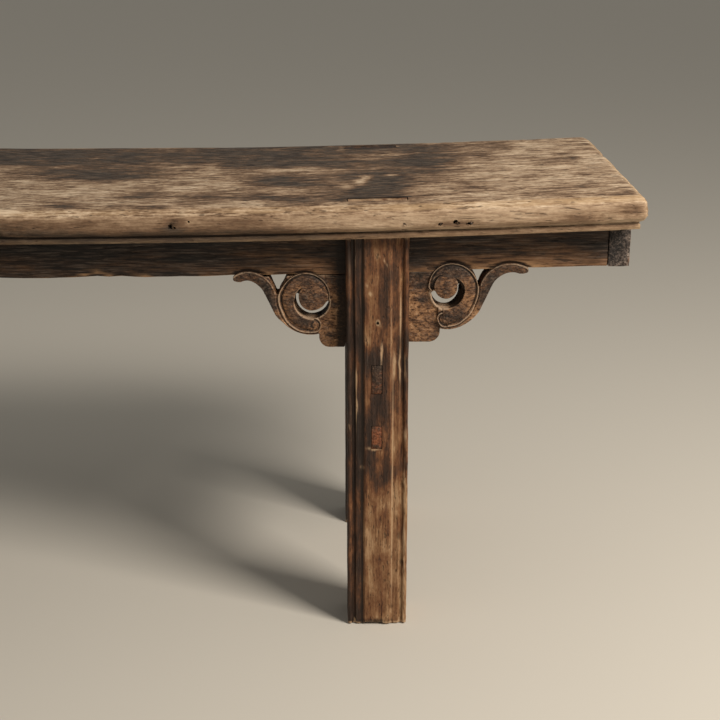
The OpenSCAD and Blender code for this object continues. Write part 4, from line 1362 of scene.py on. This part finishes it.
# Dark smudges and pale scrapes on the face by place and height, half sizes and strength
apronSmudges = [
    (0.652, 0.034, 0.04, 0.026, 0.8), (0.6, 0.03, 0.02, 0.012, 0.25),
]
apronScrapes = [
    (0.117, 0.007, 0.018, 0.006, 0.5), (0.1, 0.005, 0.01, 0.004, 0.4),
]


# The lower edge runs straight on at the ends, where the seat rises
def endDrop(x, up):
    return 2.0 * mm * smoothStep(0.50, 0.68, abs(x)) * smoothStep(0.030, 0.004, up)


def makeApron(name, sideY, node, seed):
    reach = apron["endX"] - apron["endThick"] - build["gap"]
    high = build["apronHigh"] - build["gap"]
    faces = sorted([-sideY * build["apronY"], sideY * (build["apronThick"] - build["apronY"])])
    piece = addBlock(name, (-reach, faces[0], 0), (reach, faces[1], high))
    softenEdges(piece, apron["edge"], 3)
    # Finer by the scrolls, where a groove is cut
    cutAlong(piece, 0, 480)
    cutAlong(piece, 0, 1, lambda middle: abs(abs(middle.x) - build["legX"]) < apron["carvedReach"])
    cutAlong(piece, 2, 26)
    cutAlong(piece, 2, 1, lambda middle: middle.z < 0.020)
    cutAlong(piece, 1, 5)
    points, normals = readPoints(piece)
    up = points[:, 2].copy()
    lift = numpy.array([undersideZ(x) - build["apronHigh"] for x in points[:, 0]])
    broad = unevenAt(points, (10, 30, 30), seed)
    close = unevenAt(points, (45, 120, 120), seed + 5)
    loss = (0.35 * broad + 0.45 * close * close) * mm
    lower = smoothStep(0.007, 0.0, up)
    loss += lower * (1.4 * numpy.clip(close - 0.35, 0, 1) + 0.5 * broad) * mm
    for x, halfX, halfZ, most in apronChips:
        away = ((points[:, 0] * sideY - x) / halfX) ** 2 + (up / halfZ) ** 2
        away += ((points[:, 1] * sideY + build["apronY"]) / 0.014) ** 2
        near = away < 5
        if near.any():
            ragged = 0.6 + noiseAt(points[near], (90, 160, 160), seed + x * 40)
            loss[near] += most * mm * numpy.exp(-away[near]) * numpy.clip(ragged, 0.1, 1.3)
    # A groove is cut round the crowns of the scrolls and the arms
    fromLeg = abs(abs(points[:, 0]) - build["legX"])
    front = smoothStep(0.001, 0.0, points[:, 1] * sideY + build["apronY"])
    groove = numpy.zeros(len(points))
    for handX, drop in ((1, 0.0), (-1, scroll["innerDrop"])):
        x = handX * (abs(points[:, 0]) - build["legX"]) - leg["width"] / 2
        y = up + lift - apronZ
        outward, upward = freehandShift(x, y, drop)
        cutX, cutY = x - outward, y - upward
        fromEdge = numpy.minimum(abs(insideVolute(cutX, cutY, drop)), abs(insideArm(cutX, cutY, drop)))
        wide = 0.0008 + 0.0012 * smoothStep(0.030, 0.055, x)
        groove = numpy.maximum(groove, lineAt(fromEdge, 0.0005, wide) * (x > 0.01) * (x < 0.135))
    groove *= front
    besideLeg = smoothStep(0.085, 0.078, fromLeg)
    loss = loss * (1 - besideLeg * smoothStep(0.010, 0.004, up)) + groove * 1.5 * mm
    moved = points - normals * loss[:, None]
    onBevel = besideLeg * (up < apron["edge"]) * (up > 0.1 * mm)
    onBevel = onBevel * (abs(points[:, 1]) > build["apronY"] - apron["edge"])
    moved[:, 1] = numpy.where(onBevel > 0.5, -sideY * build["apronY"], moved[:, 1])
    moved[:, 2] += lift - endDrop(points[:, 0], up)
    writePoints(piece, moved)
    worn = smoothStep(0.016, 0.0, up) * smoothStep(0.45, 0.60, points[:, 0] * sideY)
    # Darker towards the top, as painted shade under the seat
    coatAndShade = 0.45 + 0.30 * smoothStep(0.010, 0.040, up) - 0.35 * worn
    out = abs(points[:, 0])
    coatAndShade += 0.32 * smoothStep(0.34, 0.22, out) - 0.10 * smoothStep(0.44, 0.50, out)
    smudge = sumSpots(points[:, 0] * sideY, up, apronSmudges)
    smudge += 0.28 * smoothStep(0.032, 0.006, fromLeg - leg["width"] / 2)
    inward = build["legX"] - leg["width"] / 2 - out
    # The groove round the scrolls is painted dark as shade, and the corner beside the leg takes dirt and
    # painted shadow
    dirtAndShade = groove + besideLegDirtAndShadow(inward) * (inward > -0.01)
    # A scraped break in the lower edge shows pale scratches
    scraped = sumSpots(points[:, 0] * sideY, up, apronScrapes)
    scraped = scraped * numpy.clip(0.2 + 2.0 * noiseAt(points, (240, 240, 240), 81.0), 0, 1)
    fromEnd = smoothStep(0.012, 0.040, reach - out)
    markWearAndShade(piece, 8, 0.7 * mm, 0.2 * worn + scraped, dirtAndShade, coatAndShade + smudge, 0.6 * fromEnd)
    shadeSoft(piece, 45)
    finishPiece(piece, apronElm, [node])


def makeEndApron(name, sideX, node, seed):
    half = build["apronY"] + apron["proud"]
    innerX = apron["endX"] - apron["endThick"]
    foot = undersideZ(innerX) - build["apronHigh"]
    ends = sorted([sideX * apron["endX"], sideX * innerX])
    top = undersideZ(innerX) - build["gap"]
    piece = addBlock(name, (ends[0], -half, foot), (ends[1], half, top))
    softenEdges(piece, 0.5 * mm, 2)
    cutAlong(piece, 1, 150)
    cutAlong(piece, 2, 22)
    cutAlong(piece, 0, 9)
    points, normals = readPoints(piece)
    up = points[:, 2] - foot
    broad = unevenAt(points, (40, 12, 40), seed)
    close = unevenAt(points, (150, 60, 150), seed + 2)
    loss = (0.4 * broad + 0.7 * close * close + 1.2 * smoothStep(0.006, 0.0, up) * close) * mm
    keep = up < 0.040
    outer = smoothStep(0.016, 0.023, abs(points[:, 0]) - apron["endX"] + apron["endThick"])
    moved = points - normals * (loss * keep * (0.3 + 0.7 * outer))[:, None]
    moved[:, 2] -= endDrop(points[:, 0], up)
    writePoints(piece, moved)
    # Darker towards the top, as painted shade under the seat
    coatAndShade = 0.62 + 0.22 * smoothStep(0.010, 0.040, up) - 0.26 * outer - 0.25 * smoothStep(0.008, 0.0, up)
    markWearAndShade(piece, 10, 0.8 * mm, 0.35 * outer * smoothStep(0.014, 0.004, up), 0.0, coatAndShade, 0.5 * outer, 1.35)
    shadeSoft(piece, 45)
    finishPiece(piece, endApronElm, [node])


makeApron("apronFront", 1, "apron_front", 21.0)
makeApron("apronRear", -1, "apron_rear", 27.0)
makeEndApron("endApronRight", 1, "end_apron_right", 33.0)
makeEndApron("endApronLeft", -1, "end_apron_left", 37.0)
print("aprons ready")


# Floor, light and camera

# A pale painted board, quite dull, so that it only takes the shadow
floorMaterial = bpy.data.materials.new("paleFloor")
floorMaterial.use_nodes = True
floorShader = floorMaterial.node_tree.nodes["Principled BSDF"]
floorShader.inputs["Base Color"].default_value = linearColour("#C9C4BA")
floorShader.inputs["Roughness"].default_value = 0.9
deselectAll()
bpy.ops.mesh.primitive_plane_add(size=60, location=(0, 0, 0))
floor = bpy.context.object
floor.name = "floor"
floor.data.materials.append(floorMaterial)

world = bpy.data.worlds.new("studio")
bpy.context.scene.world = world
world.use_nodes = True
sky = world.node_tree.nodes["Background"]
sky.inputs["Color"].default_value = linearColour("#F2EEE6")
sky.inputs["Strength"].default_value = 0.32


def addSoftBox(name, place, target, size, power, colour):
    deselectAll()
    bpy.ops.object.light_add(type="AREA", location=place)
    lamp = bpy.context.object
    lamp.name = name
    lamp.data.shape = "RECTANGLE"
    lamp.data.size, lamp.data.size_y = size
    lamp.data.energy = power
    lamp.data.color = linearColour(colour)[:3]
    way = Vector(target) - Vector(place)
    lamp.rotation_euler = way.to_track_quat("-Z", "Y").to_euler()


addSoftBox("keyLight", (1.91, -1.34, 1.81), (0.35, 0.0, 0.35), (0.9, 0.7), 75, "#FFF6EA")

# The camera stands where the picture was taken. Its angles are degrees, and its focus is in picture points.
view = {
    "place": (0.368, -1.707, 0.829),
    "down": 18.2,
    "right": 1.04,
    "roll": -0.05,
    "pixelFocus": 1481.0,
    "frame": 720,
    "sensor": 36.0,
}
deselectAll()
bpy.ops.object.camera_add(location=view["place"])
camera = bpy.context.object
camera.name = "camera"
turns = (90 - view["down"], view["roll"], -view["right"])
camera.rotation_euler = Euler([math.radians(turn) for turn in turns])
camera.data.sensor_width = view["sensor"]
camera.data.lens = view["sensor"] * view["pixelFocus"] / view["frame"]
bpy.context.scene.camera = camera
bpy.context.scene.view_settings.view_transform = "Standard"
print("stage ready")
